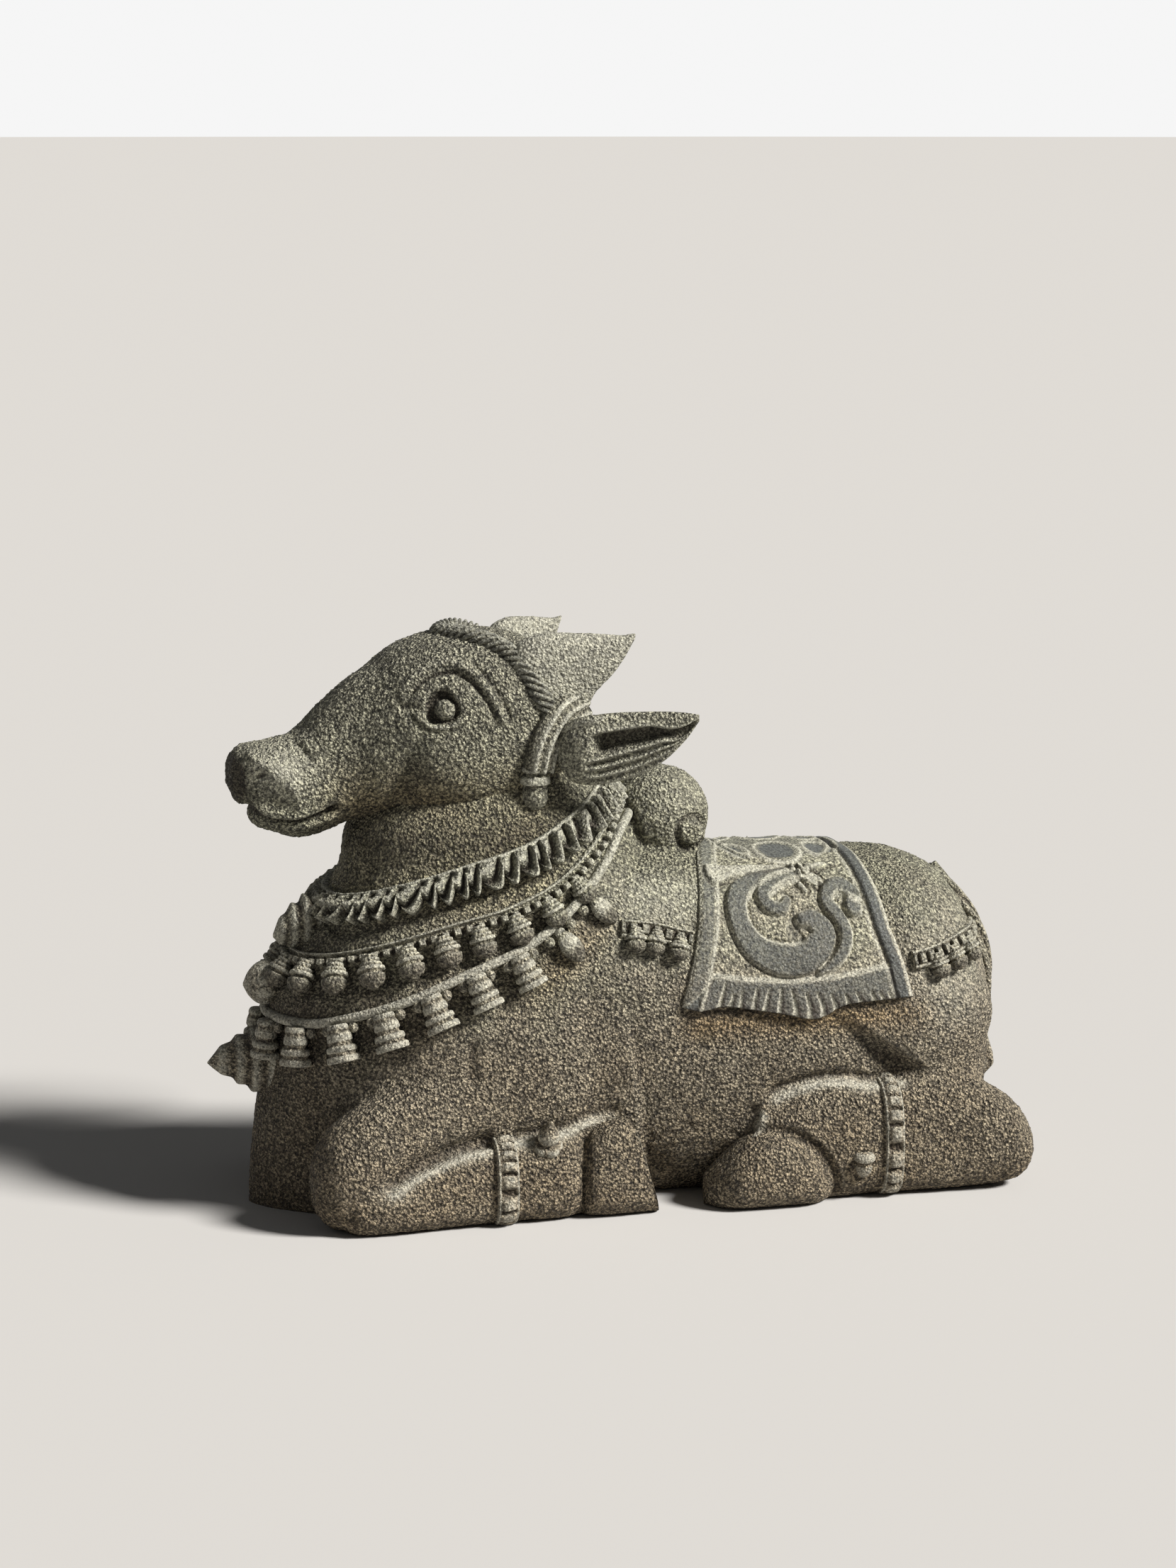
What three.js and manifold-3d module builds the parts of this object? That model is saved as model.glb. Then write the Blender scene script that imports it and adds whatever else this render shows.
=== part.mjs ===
// A reclining bull carved from one block of speckled granite, dressed for a temple: a twisted brow rope,
// three necklaces with bells and chest pendants, a girth strap, a fringed saddle cloth with scrolls, a hip
// strap and beaded anklets. Millimetres, +Z up. The bull faces -X and its left flank faces -Y.
// Each carved form is a closed solid of its own, and neighbours are seated a hair apart.

import * as THREE from 'three';
import { mergeVertices } from 'three/addons/utils/BufferGeometryUtils.js';
import Module from 'manifold-3d';

const wasm = await Module();
wasm.setup();
const { Manifold, Mesh } = wasm;

const LEFT = -1;
const RIGHT = 1;

// Clearance between one carved form and the next.
const seatGap = 0.3;
// Lift of dress that lies on the rounded stone without being cut to it.
const dressLift = 0.7;
// How far a form runs under the surface that it is cut to.
const seatDepth = 2;

// The block of stone, and the block on which the places and sizes below were measured.
const stoneLength = 342;
const stoneWidth = 144;
const stoneHeight = 242;
const measured = { x: 342, y: 144, z: 242 };
const stretch = {
  x: stoneLength / measured.x,
  y: stoneWidth / measured.y,
  z: stoneHeight / measured.z,
  r: Math.cbrt((stoneLength / measured.x) * (stoneWidth / measured.y) * (stoneHeight / measured.z)),
};

// Measured values stretched to the block, by a letter for each: x, y or z, r for a radius, - for a number
// that has no length.
const fitted = (kinds, row) => row.map((value, i) => value * (stretch[kinds[i]] ?? 1));
const tableOf = (kinds, rows) => rows.map((row) => fitted(kinds, row));

// Masses of the animal. Each row is one station along the form.
// Trunk, by place along the back: spine height, belly height, half width, height of the widest line,
// squareness above it and below it.
const trunkStations = tableOf('xzzyz--', [
  [-70, 128, -5, 48, 72, 2.4, 2.2],
  [-30, 146, -5, 56, 72, 2.3, 2.3],
  [10, 147, -5, 57.5, 74, 2.3, 2.4],
  [36, 142.2, -5, 58.5, 75, 2.35, 2.4],
  [70, 141.4, -5, 59, 76, 2.4, 2.4],
  [103, 138.6, -5, 58.5, 76, 2.4, 2.4],
  [122, 135.8, -5, 56.5, 74, 2.3, 2.4],
  [140, 125, -4, 51, 70, 2.2, 2.4],
  [150, 108.5, 0, 39, 64, 2.1, 2.4],
  [157, 96, 10, 23, 60, 2, 2.2],
  [161, 84, 26, 10, 58, 2, 2],
]);
// Neck and chest, by height: front edge, back edge, half width, place of the widest line, squareness of
// the front and of the back. The keel of the chest narrows towards the ground.
const neckStations = tableOf('zxxyx--', [
  [-6, -160, -4, 50, -66, 1.55, 4],
  [24, -158, -4, 56, -70, 1.65, 4],
  [44, -155, -4, 59.5, -72, 1.8, 4],
  [70, -151, -5, 61, -72, 1.95, 3.6],
  [90, -148.5, -2, 59.5, -70, 2, 3.2],
  [105, -142, 4, 56.5, -66, 2.1, 2.8],
  [119, -133, 9, 53, -60, 2.2, 2.5],
  [131, -127, 11, 49.5, -57, 2.2, 2.3],
  [142, -121, 11, 46, -55, 2.2, 2.2],
  [156, -116, 8, 42, -54, 2.2, 2.2],
  [168, -108, 2, 37, -52, 2.2, 2.2],
  [180, -92, -8, 30, -50, 2.2, 2.2],
  [190, -75, -22, 18, -48, 2.2, 2.2],
]);
// Head, by place from the muzzle to the poll: top height, jaw height, half width, height of the widest
// line, squareness above it and below it.
const headStations = tableOf('xzzyz--', [
  [-166, 185, 173, 11, 179, 2.6, 2.6],
  [-163.5, 190, 168, 18, 179, 2.8, 2.6],
  [-156, 193, 161.5, 21, 178, 2.6, 2.4],
  [-148, 194.5, 157, 22, 177, 2.5, 2.3],
  [-138, 197.5, 154, 21.5, 176, 2.4, 2.2],
  [-127, 208.5, 156, 21, 178, 2.3, 2.2],
  [-117, 217.5, 160, 23.5, 182, 2.3, 2.2],
  [-107, 223.5, 161, 28.5, 187, 2.3, 2.2],
  [-95, 232, 159.5, 34, 192, 2.3, 2.2],
  [-82, 236.5, 158, 37.5, 195, 2.35, 2.2],
  [-68, 238, 157, 39, 196, 2.4, 2.2],
  [-55, 237.5, 158, 39, 196, 2.4, 2.2],
  [-42, 234, 162, 37, 197, 2.35, 2.2],
  [-30, 226, 169, 31.5, 198, 2.2, 2.1],
  [-20, 215, 178, 22, 198, 2.1, 2],
  [-14, 204, 188, 9, 197, 2, 2],
]);

// Legs, by place along the body: top height, bottom height, half width, distance of the middle line from
// the middle of the body, squareness. They lie folded on the ground.
const forearmStations = tableOf('xzzyy-', [
  [-143.5, 30, 12, 6, 55, 2],
  [-140, 38, 5, 11.5, 55, 2],
  [-133, 46, 0, 15.5, 55, 2.1],
  [-119, 54, 2, 17, 54, 2.1],
  [-94, 62, 16, 17, 51, 2.1],
  [-70, 64, 28, 14, 49, 2],
  [-48, 60, 38, 8, 48, 2],
]);
const foreShankStations = tableOf('xzzyy-', [
  [-136, 28, 6, 8, 56, 2.4],
  [-126, 27, -4, 15, 56, 2.6],
  [-108, 28, -4, 16, 56, 2.7],
  [-92, 31, -4, 15, 55.5, 2.7],
  [-66, 34, -4, 14, 54, 2.7],
  [-46, 35, -4, 13, 52, 2.6],
  [-29, 32, -4, 12.5, 50, 2.5],
]);
const foreHoofStations = tableOf('xzzyy-', [
  [-28.5, 35, -4, 13.5, 50, 2.5],
  [-20, 38.5, -4, 15, 50, 2.6],
  [-13, 40.5, -4, 15, 50, 2.8],
  [-11, 40, -4, 14.5, 50, 2.8],
]);
const hindShankStations = tableOf('xzzyy-', [
  [33, 26, -3, 9, 49, 2.2],
  [39, 34, -4, 12.5, 50, 2.3],
  [48, 40, -4, 14.5, 50.5, 2.4],
  [73, 46.5, -3, 15.5, 50.5, 2.5],
  [103, 48, -2, 15.5, 50.5, 2.5],
  [126, 48, -2, 16, 51, 2.4],
  [143, 46, 0, 16.5, 52, 2.3],
  [155, 39.5, 2, 15.5, 53, 2.2],
  [162, 31.5, 5, 12, 53, 2.1],
  [166, 23, 12, 5.5, 53, 2],
]);
const hindHoofStations = tableOf('xzzyy-', [
  [24, 15, 0, 5, 55, 2.2],
  [28, 20.5, -4, 10.5, 56, 2.4],
  [36, 25.5, -4, 13.5, 57, 2.5],
  [47, 28.5, -4, 14.5, 57, 2.5],
  [60, 27, -4, 14, 57, 2.4],
  [71, 18, -4, 11.5, 57, 2.3],
  [77, 8, -1, 6.5, 56, 2.2],
]);
// The back of the fore hoof slants down to this place on the ground.
const hoofHeelReach = 12 * stretch.x;

// The haunch swells from the rump over the hind leg.
const haunchCentre = fitted('xyz', [115, 30.5, 72]);
const haunchRadii = fitted('xyz', [40, 30.5, 33]);

// The hump leans back over the cloth and ends in a curl.
const humpCentre = fitted('xyz', [20, 0, 156]);
const humpRadii = fitted('xyz', [15.5, 21, 20.5]);
const humpCurlCentre = fitted('xyz', [29, 0, 150]);
const humpCurlRadius = 6.5 * stretch.r;
const humpCurlWidth = 34 * stretch.y;

// Horns: short fins. Root and tip of the middle line as place, distance from the middle, height.
const hornRoot = fitted('xyz', [-45, 27, 222]);
const hornTips = {
  [LEFT]: fitted('xyz', [-3, 33, 236.5]),
  [RIGHT]: fitted('xyz', [-19, 31, 237]),
};
const hornRootHalfLength = 21 * stretch.r;
const hornTipHalfLength = 2.2 * stretch.r;
const hornRootHalfThickness = 9.5 * stretch.r;
const hornTipHalfThickness = 1.6 * stretch.r;
const hornRootLean = 0.83;
const hornTipLean = 1.45;

// Ears: leaves cupped outwards. By share of the way from root to tip: place, distance from the middle,
// height of the middle line, half height, half thickness.
const earStations = tableOf('-xyzzy', [
  [0, -38, 33, 196, 8.5, 6],
  [0.25, -26, 42, 194.5, 12.5, 5.5],
  [0.5, -11, 49, 195.5, 13.5, 4.5],
  [0.75, 4, 54, 198.5, 10.5, 3.5],
  [0.92, 14, 57.5, 203, 5, 2.4],
  [1, 19, 59, 205.5, 1.2, 1.2],
]);
const earCup = 0.75;
// The right ear is carved shorter, as the block allows.
const earReach = { [LEFT]: 1, [RIGHT]: 0.7 };

// Eyes, brows, nostrils and mouth, as place and height on the side of the head.
const eyePlace = fitted('xz', [-82.5, 210]);
const eyeballRadius = 3.9 * stretch.r;
const socketRadius = 6.7 * stretch.r;
const socketDepth = 2.6 * stretch.r;
const browArch = tableOf('xz', [
  [-98.3, 211], [-95, 217.3], [-88.3, 222.8], [-79, 225.5], [-71.5, 222], [-65.7, 214.7], [-62, 207],
  [-60, 200.7],
]);
const browHalfWidth = 1.7;
const browHeight = 1.3;
const nostrilPlace = fitted('xz', [-154, 183]);
const nostrilRadii = fitted('xz', [4.2, 2.6]);
const mouthLine = tableOf('xz', [[-160, 167], [-153, 164.4], [-142, 162.5], [-130.6, 165.4], [-124, 168.5]]);
const mouthHalfWidth = 1.1;
const mouthDepth = 2;

// Tail: a cord of hair down the rump that ends in a tuft beside the hock.
const tailLine = tableOf('xyz', [
  [136, 0, 121.5], [148, 0, 109.5], [156.5, -1, 97], [161.8, -3, 84], [160.5, -8, 66], [157, -14, 52],
  [154.5, -20, 42],
]);
const tailRadius = 4.6 * stretch.r;
const tuftCentre = fitted('xyz', [153.5, -21, 39.5]);
const tuftRadius = 7.5 * stretch.r;

// Brow rope: place and height on the side of the head, from the ear to the crown.
const browRopeLine = tableOf('xz', [
  [-36, 202], [-40, 210], [-43.5, 216], [-48.7, 226], [-57, 233], [-68.5, 236.6],
]);
const browRopeCrown = -77 * stretch.x;
const browRopeSink = 1.2 * stretch.z;
const browRopeRadius = 5.2 * stretch.r;
const browRopeLobe = 0.16;
const browRopeStrands = 3;
const browRopeTurns = 5;
const headCore = fitted('xyz', [-60, 0, 195]);

// Ear strap: place and height on the cheek, from the rope's end to the tassel.
const earStrapLine = tableOf('xz', [[-28, 205], [-34.4, 201.5], [-40.6, 194], [-43, 184]]);
const earStrapHalfWidth = 5.2 * stretch.r;
const earStrapThickness = 4.6;
const tasselTop = 185 * stretch.z;
const tasselBottom = 171 * stretch.z;
const tasselRadius = 5 * stretch.r;

// Necklaces: height of each line as a function of the place along the body. They rise to the nape.
const collarLine = tableOf('xz', [
  [-130, 125.6], [-120, 128], [-100, 134.2], [-75, 142], [-48, 150.2], [-27, 161], [-12, 170], [-2, 175],
]);
const bellLine = tableOf('xz', [
  [-143, 104], [-131, 106.4], [-108, 113], [-83, 120.8], [-57, 127.6], [-36, 137], [-18.7, 151], [-9, 162],
  [3, 167],
]);
const cordLine = tableOf('xz', [
  [-152, 80.5], [-138, 81.7], [-124, 86], [-103, 93.4], [-78, 104], [-51, 115], [-30, 130], [-16, 144.5],
  [-7, 156], [6, 161],
]);
const collarHalfHeight = 4.6;
const collarThickness = 4;
const collarRidge = 1;
const collarStrands = 32;
const bandHalfHeight = 2.8;
const bandThickness = 3;
const bandTooth = 0.7;
const bandBeads = 28;
const cordHalfHeight = 1.7;
const cordThickness = 3;
const bellCount = 20;
const bellDrop = 8.8 * stretch.r;
const bellRadius = 4.9 * stretch.r;
// Bells near the nape are smaller by this share, and all are flattened towards the neck.
const bellShrink = 0.4;
const bellFlatness = 0.8;
const cordSteps = 48;
const cupCount = 18;
const cupDrop = 3.4 * stretch.r;
const cupLength = 11.5 * stretch.r;
const cupMouthRadius = 5.9 * stretch.r;
const cupTopRadius = 3.6 * stretch.r;
// The bells leave the nape free, where the three lines come together.
const napeShare = 0.24;

// Chest pendants on the middle line: where each hangs, how far it stands out, its half height and half
// width.
const pendants = {
  upper_pendant: { size: fitted('zxzy', [118.5, 17, 11, 8]), steps: 3, point: 1.2 },
  round_pendant: { size: fitted('zxzy', [92.5, 15, 10.5, 9.5]), steps: 1, point: 0.45 },
  lower_pendant: { size: fitted('zxzy', [62, 24, 15.5, 11]), steps: 3, point: 1.2 },
};

// Saddle cloth: place of the front and rear edges by share of the way from the spine to the hem.
const clothFront = tableOf('-x', [[0, 36.4], [0.15, 31], [0.3, 26.5], [0.55, 22.3], [0.8, 17.7], [1, 12]]);
const clothRear = tableOf('-x', [[0, 98], [0.3, 99.6], [0.55, 101.3], [0.8, 106], [1, 111.3]]);
const clothHemHeight = 85 * stretch.z;
const clothHemDip = 6 * stretch.z;
const clothThickness = 2.6;
const clothBorderThickness = 3.8;
const clothBorderWidth = 6.5;
const fringeHeight = 7;
const fringeCuts = 11;
const fringeCutWidth = 1.6;
const fringeCutDepth = 2.2;

// Scrolls on the cloth: place and height of the middle line, half width. A large curl, a small curl
// inside it, a stem that ends in a ball, and the tie that binds them at the top.
const scrollLine = tableOf('xzz', [
  [68, 134.6, 1.2], [54, 132.8, 1.7], [44, 129.8, 3.1], [38, 125, 4.3], [38.5, 116.4, 4.4], [44, 107.6, 5.2],
  [55, 102.8, 6], [67, 104, 6], [73, 112, 5.2], [68.4, 117.9, 3], [62.5, 114.5, 3],
]);
const smallCurlLine = tableOf('xzz', [
  [68.5, 132.6, 1.4], [57.8, 131, 2.1], [50.5, 127.2, 2.6], [51.7, 122.7, 2.4], [57, 121.7, 2.1],
]);
const stemLine = tableOf('xzz', [
  [65, 100.5, 1.6], [76.5, 100, 2.4], [82.4, 108, 2.5], [82, 115, 2.6], [77.4, 122.7, 2.5],
  [81, 127.4, 2.4], [86.6, 126, 2.9], [88.4, 122.4, 3.6], [88.2, 119.6, 2.6],
]);
const scrollTie = tableOf('xzz', [[65.6, 137.3, 1.3], [69.4, 128.6, 1.3]]);
const scrollThickness = 1.5;

// Straps: place and height of the middle line on the flank.
const girthLine = tableOf('xz', [[-12, 118], [0, 116.6], [10, 114], [16, 112.5]]);
const girthHalfWidth = 4;
const girthThickness = 3.2;
const hipLine = tableOf('xz', [[117, 100], [123.5, 101.2], [134, 104], [142, 105.8], [148, 106.3]]);
const hipHalfWidth = 3.6;
const hipThickness = 3;
const strapBellRadius = 3.6 * stretch.r;

// Anklets and the small carved buds above them.
const foreAnklet = { span: fitted('xx', [-69, -59.5]), thickness: 2.4 };
const hindAnklet = { span: fitted('xx', [98, 105.5]), thickness: 2.4 };
const ankletBeads = 12;
const ankletBead = 0.7;
// Buds: place and height on the leg, lean of the bud along the body in radians, radius.
const foreBud = { spot: fitted('xz', [-49, 32.5]), lean: 0.49, radius: 5.2 };
const hindBud = { spot: fitted('xz', [90, 15]), lean: -0.3, radius: 4.2 };
const budInset = 1;

// Fineness of the surfaces.
const trunkSides = 22;
const trunkRings = 15;
const neckSides = 24;
const neckRings = 13;
const headSides = 18;
const headRings = 17;
const legSides = 10;
const legRings = 9;
const ropeSides = 6;

const granite = new THREE.MeshStandardMaterial({ color: 0x8f8a7c, roughness: 0.93, metalness: 0 });
const graniteDark = new THREE.MeshStandardMaterial({ color: 0x6d6c65, roughness: 0.85, metalness: 0 });
const graniteRubbed = new THREE.MeshStandardMaterial({ color: 0x9c998d, roughness: 0.82, metalness: 0 });
const graniteScroll = new THREE.MeshStandardMaterial({ color: 0x565b60, roughness: 0.6, metalness: 0 });

// Values of a station table at a place between its rows: a cubic through the rows, whose slope at a row
// comes from the rows on both sides.
function along(table, place) {
  const last = table.length - 1;
  if (place <= table[0][0]) return table[0];
  if (place >= table[last][0]) return table[last];
  let row = 0;
  while (place > table[row + 1][0]) row += 1;
  const here = table[row];
  const next = table[row + 1];
  const before = table[Math.max(row - 1, 0)];
  const after = table[Math.min(row + 2, last)];
  const span = next[0] - here[0];
  const t = (place - here[0]) / span;
  return here.map((value, k) => {
    const leave = (next[k] - before[k]) / (next[0] - before[0]) * span;
    const arrive = (after[k] - value) / (after[0] - here[0]) * span;
    const bend = 2 * (value - next[k]) + leave + arrive;
    return value + t * (leave + t * (next[k] - value - leave - bend + t * bend));
  });
}

// A point of a rounded square of the given squareness, where 2 is a circle.
function rounded(turn, squareness) {
  const c = Math.cos(turn);
  const s = Math.sin(turn);
  return [Math.sign(c) * Math.abs(c) ** (2 / squareness), Math.sign(s) * Math.abs(s) ** (2 / squareness)];
}

// Section of a form that runs along the body. The turn starts at the flank and goes over the top.
function lengthwisePoint(table, place, turn, side) {
  const [x, top, bottom, half, widest, above, below] = along(table, place);
  const [c, s] = rounded(turn, Math.sin(turn) > 0 ? above : below);
  return new THREE.Vector3(x, side * c * half, widest + s * (s > 0 ? top - widest : widest - bottom));
}

// Section of a folded leg, whose middle line lies out to one side.
function legPoint(table, place, turn, side) {
  const [x, top, bottom, half, out, squareness] = along(table, place);
  const [c, s] = rounded(turn, squareness);
  const middle = (top + bottom) / 2;
  return new THREE.Vector3(x, side * (out + c * half), middle + s * (top - bottom) / 2);
}

// Level section of the neck. The turn starts at the chest and goes round the left side.
function neckPoint(height, turn) {
  const [z, front, back, half, widest, ahead, behind] = along(neckStations, height);
  const [c, s] = rounded(turn, Math.cos(turn) > 0 ? ahead : behind);
  return new THREE.Vector3(widest - c * (c > 0 ? widest - front : back - widest), -s * half, z);
}

// Point on the side of a lengthwise form at a place and a height.
function onFlank(table, place, height, side) {
  const [x, top, bottom, half, widest, above, below] = along(table, place);
  const up = height > widest;
  const squareness = up ? above : below;
  const share = Math.min(Math.abs(height - widest) / (up ? top - widest : widest - bottom), 1);
  return new THREE.Vector3(x, side * half * (1 - share ** squareness) ** (1 / squareness), height);
}

// Outward direction of a surface given as a function of two numbers.
function outward(surface, u, v, inside) {
  const step = 0.01;
  const across = surface(u + step, v).sub(surface(u - step, v));
  const onward = surface(u, v + step).sub(surface(u, v - step));
  const normal = across.cross(onward).normalize();
  if (normal.dot(surface(u, v).sub(inside)) < 0) normal.negate();
  return normal;
}

// Skin of a row of rings, as one closed surface. A row that isn't a loop gets a cap at each end.
function skin(rings, loop = false) {
  const count = rings[0].length;
  const points = rings.flat();
  const index = [];
  const spans = loop ? rings.length : rings.length - 1;
  for (let i = 0; i < spans; i += 1) {
    const a = i * count;
    const b = ((i + 1) % rings.length) * count;
    for (let j = 0; j < count; j += 1) {
      const k = (j + 1) % count;
      index.push(a + j, a + k, b + k, a + j, b + k, b + j);
    }
  }
  if (!loop) {
    for (const [ring, start, turned] of [[rings[0], 0, true], [rings.at(-1), points.length - count, false]]) {
      const middle = new THREE.Vector3();
      ring.forEach((point) => middle.addScaledVector(point, 1 / count));
      points.push(middle);
      for (let j = 0; j < count; j += 1) {
        const edge = [start + j, start + (j + 1) % count];
        if (turned) edge.reverse();
        index.push(edge[0], edge[1], points.length - 1);
      }
    }
  }
  const geometry = new THREE.BufferGeometry().setFromPoints(points);
  geometry.setIndex(index);
  return geometry;
}

// Solid of a closed surface, with its faces turned outwards.
function solid(geometry) {
  const bare = geometry.clone();
  bare.deleteAttribute('normal');
  bare.deleteAttribute('uv');
  const merged = mergeVertices(bare, 1e-4);
  const position = merged.attributes.position;
  const index = Array.from(merged.index.array);
  if (signedVolume(merged) < 0) index.reverse();
  return new Manifold(new Mesh({
    numProp: 3,
    vertProperties: new Float32Array(position.array),
    triVerts: new Uint32Array(index),
  }));
}

// Surface of a solid, for drawing or for growing.
function surfaceOf(body) {
  const { vertProperties, triVerts } = body.getMesh();
  const geometry = new THREE.BufferGeometry();
  geometry.setAttribute('position', new THREE.BufferAttribute(new Float32Array(vertProperties), 3));
  geometry.setIndex(Array.from(triVerts));
  return geometry;
}

// A smooth closed surface moved outwards along its own normals.
function grown(geometry, distance) {
  const bare = geometry.clone();
  bare.deleteAttribute('normal');
  bare.deleteAttribute('uv');
  const wide = mergeVertices(bare, 1e-4);
  wide.computeVertexNormals();
  const { position, normal } = wide.attributes;
  const facing = Math.sign(signedVolume(wide));
  for (let i = 0; i < position.count; i += 1) {
    position.setXYZ(
      i,
      position.getX(i) + facing * distance * normal.getX(i),
      position.getY(i) + facing * distance * normal.getY(i),
      position.getZ(i) + facing * distance * normal.getZ(i),
    );
  }
  return wide;
}

function signedVolume(geometry) {
  const position = geometry.attributes.position;
  const index = geometry.index.array;
  const [a, b, c] = [new THREE.Vector3(), new THREE.Vector3(), new THREE.Vector3()];
  let volume = 0;
  for (let i = 0; i < index.length; i += 3) {
    a.fromBufferAttribute(position, index[i]);
    b.fromBufferAttribute(position, index[i + 1]);
    c.fromBufferAttribute(position, index[i + 2]);
    volume += a.dot(b.cross(c)) / 6;
  }
  return volume;
}

// The largest body that a cut leaves.
function largest(body) {
  const bodies = body.decompose();
  return bodies.reduce((best, other) => (other.volume() > best.volume() ? other : best));
}

// Cuts a form to the forms and the ground that it lies against.
function seated(body, ...hosts) {
  return largest(hosts.reduce((rest, host) => rest.subtract(host), body).subtract(ground));
}

// A box by its middle and its size.
function block(middle, size) {
  return solid(new THREE.BoxGeometry(...size).translate(...middle));
}

function ball(middle, radii, sides = 14) {
  const sphere = new THREE.SphereGeometry(1, sides, Math.round(sides * 0.7));
  return solid(sphere.scale(...radii).translate(...middle));
}

// Evenly spaced values from one end to the other, both included.
function spread(from, to, count) {
  return Array.from({ length: count }, (_, i) => from + (to - from) * i / (count - 1));
}

// Evenly spaced turns once round.
const turnsRound = (count) => spread(0, 2 * Math.PI, count + 1).slice(0, -1);

// Smooth line through a few chosen points.
function smoothLine(points, count) {
  const curve = new THREE.CatmullRomCurve3(points, false, 'centripetal');
  return curve.getSpacedPoints(count - 1);
}

// Closed skin of a form that is a function of place and turn.
function lofted(point, from, to, rings, sides) {
  const turns = turnsRound(sides);
  // Rings stand closer together where the ends round off.
  const places = spread(0, Math.PI, rings).map((angle) => {
    const eased = (1 - Math.cos(angle)) / 2;
    return from + (to - from) * (0.55 * eased + 0.45 * angle / Math.PI);
  });
  return skin(places.map((place) => turns.map((turn) => point(place, turn))));
}

// A profile carried along a line that lies on a form. The profile is a list of pairs, sideways and
// outwards, and may change from step to step.
function carried(line, normals, profile, loop = false) {
  const rings = line.map((point, i) => {
    const before = line[loop ? (i + line.length - 1) % line.length : Math.max(i - 1, 0)];
    const after = line[loop ? (i + 1) % line.length : Math.min(i + 1, line.length - 1)];
    const onward = after.clone().sub(before).normalize();
    const sideways = normals[i].clone().cross(onward).normalize();
    const out = onward.clone().cross(sideways).normalize();
    return profile(i / (line.length - (loop ? 0 : 1))).map(([across, up]) => point.clone()
      .addScaledVector(sideways, across)
      .addScaledVector(out, up));
  });
  return skin(rings, loop);
}

const floorDepth = 40;
const floorReach = 500;
const ground = block([0, 0, -floorDepth / 2], [floorReach, floorReach, floorDepth]);

// The three masses that everything else is cut to.
const ends = (table) => [table[0][0], table.at(-1)[0]];
const trunkSkin = lofted(
  (place, turn) => lengthwisePoint(trunkStations, place, turn, LEFT),
  ...ends(trunkStations), trunkRings, trunkSides,
);
const neckSkin = lofted(neckPoint, ...ends(neckStations), neckRings, neckSides);
const headSkin = lofted(
  (place, turn) => lengthwisePoint(headStations, place, turn, LEFT),
  ...ends(headStations), headRings, headSides,
);
const haunchSkins = [LEFT, RIGHT].map((side) => new THREE.SphereGeometry(1, 14, 9)
  .scale(...haunchRadii).translate(haunchCentre[0], side * haunchCentre[1], haunchCentre[2]));
const trunkRoom = haunchSkins.reduce(
  (room, haunch) => room.add(solid(grown(haunch, seatGap))),
  solid(grown(trunkSkin, seatGap)),
);
const neckRoom = solid(grown(neckSkin, seatGap));
const headRoom = solid(grown(headSkin, seatGap));

const flankNormal = (table, place, height, side) => {
  const surface = (u, v) => onFlank(table, u, v, side);
  const [, top, bottom] = along(table, place);
  return outward(surface, place, height, new THREE.Vector3(place, 0, (top + bottom) / 2));
};

// A band on the flank of a lengthwise form, through places and heights.
function flankLine(table, pairs, side, count) {
  const flat = smoothLine(pairs.map(([place, height]) => new THREE.Vector3(place, 0, height)), count);
  return {
    line: flat.map((point) => onFlank(table, point.x, point.z, side)),
    normals: flat.map((point) => flankNormal(table, point.x, point.z, side)),
  };
}

const bandProfile = (halfWidth, thickness, foot = dressLift) => [
  [-halfWidth, foot], [halfWidth, foot], [halfWidth * 0.8, thickness], [-halfWidth * 0.8, thickness],
];

// Eye socket, brow, nostril and mouth cut or raised on each side of the head.
function carveFace(head) {
  let face = head;
  for (const side of [LEFT, RIGHT]) {
    const eye = onFlank(headStations, ...eyePlace, side);
    const look = flankNormal(headStations, ...eyePlace, side);
    const turnOut = new THREE.Quaternion().setFromUnitVectors(new THREE.Vector3(0, 1, 0), look);
    const socket = new THREE.LatheGeometry([
      new THREE.Vector2(0, -socketDepth),
      new THREE.Vector2(socketRadius * 0.62, -socketDepth),
      new THREE.Vector2(socketRadius, 0),
      new THREE.Vector2(socketRadius + 1, seatDepth),
      new THREE.Vector2(0, seatDepth),
    ], 8).applyQuaternion(turnOut).translate(eye.x, eye.y, eye.z);
    face = face.subtract(solid(socket));
    const core = eye.clone().addScaledVector(look, -eyeballRadius * 0.55);
    face = face.add(ball(core.toArray(), [eyeballRadius, eyeballRadius, eyeballRadius], 7));
    const brow = flankLine(headStations, browArch, side, 7);
    face = face.add(solid(carried(brow.line, brow.normals, (share) => {
      const width = browHalfWidth * Math.max(Math.sin(Math.PI * share) ** 0.5, 0.25);
      return bandProfile(width, browHeight, -seatDepth);
    })));
    const mouth = flankLine(headStations, mouthLine, side, 5);
    face = face.subtract(solid(carried(mouth.line, mouth.normals, (share) => {
      const width = mouthHalfWidth * (1 - 0.6 * share);
      return [[-width, seatDepth], [0, -mouthDepth], [width, seatDepth]];
    })));
    const nose = onFlank(headStations, ...nostrilPlace, side);
    face = face.subtract(ball([nose.x, nose.y, nose.z], [nostrilRadii[0], 2, nostrilRadii[1]], 6));
  }
  return largest(face);
}

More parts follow.
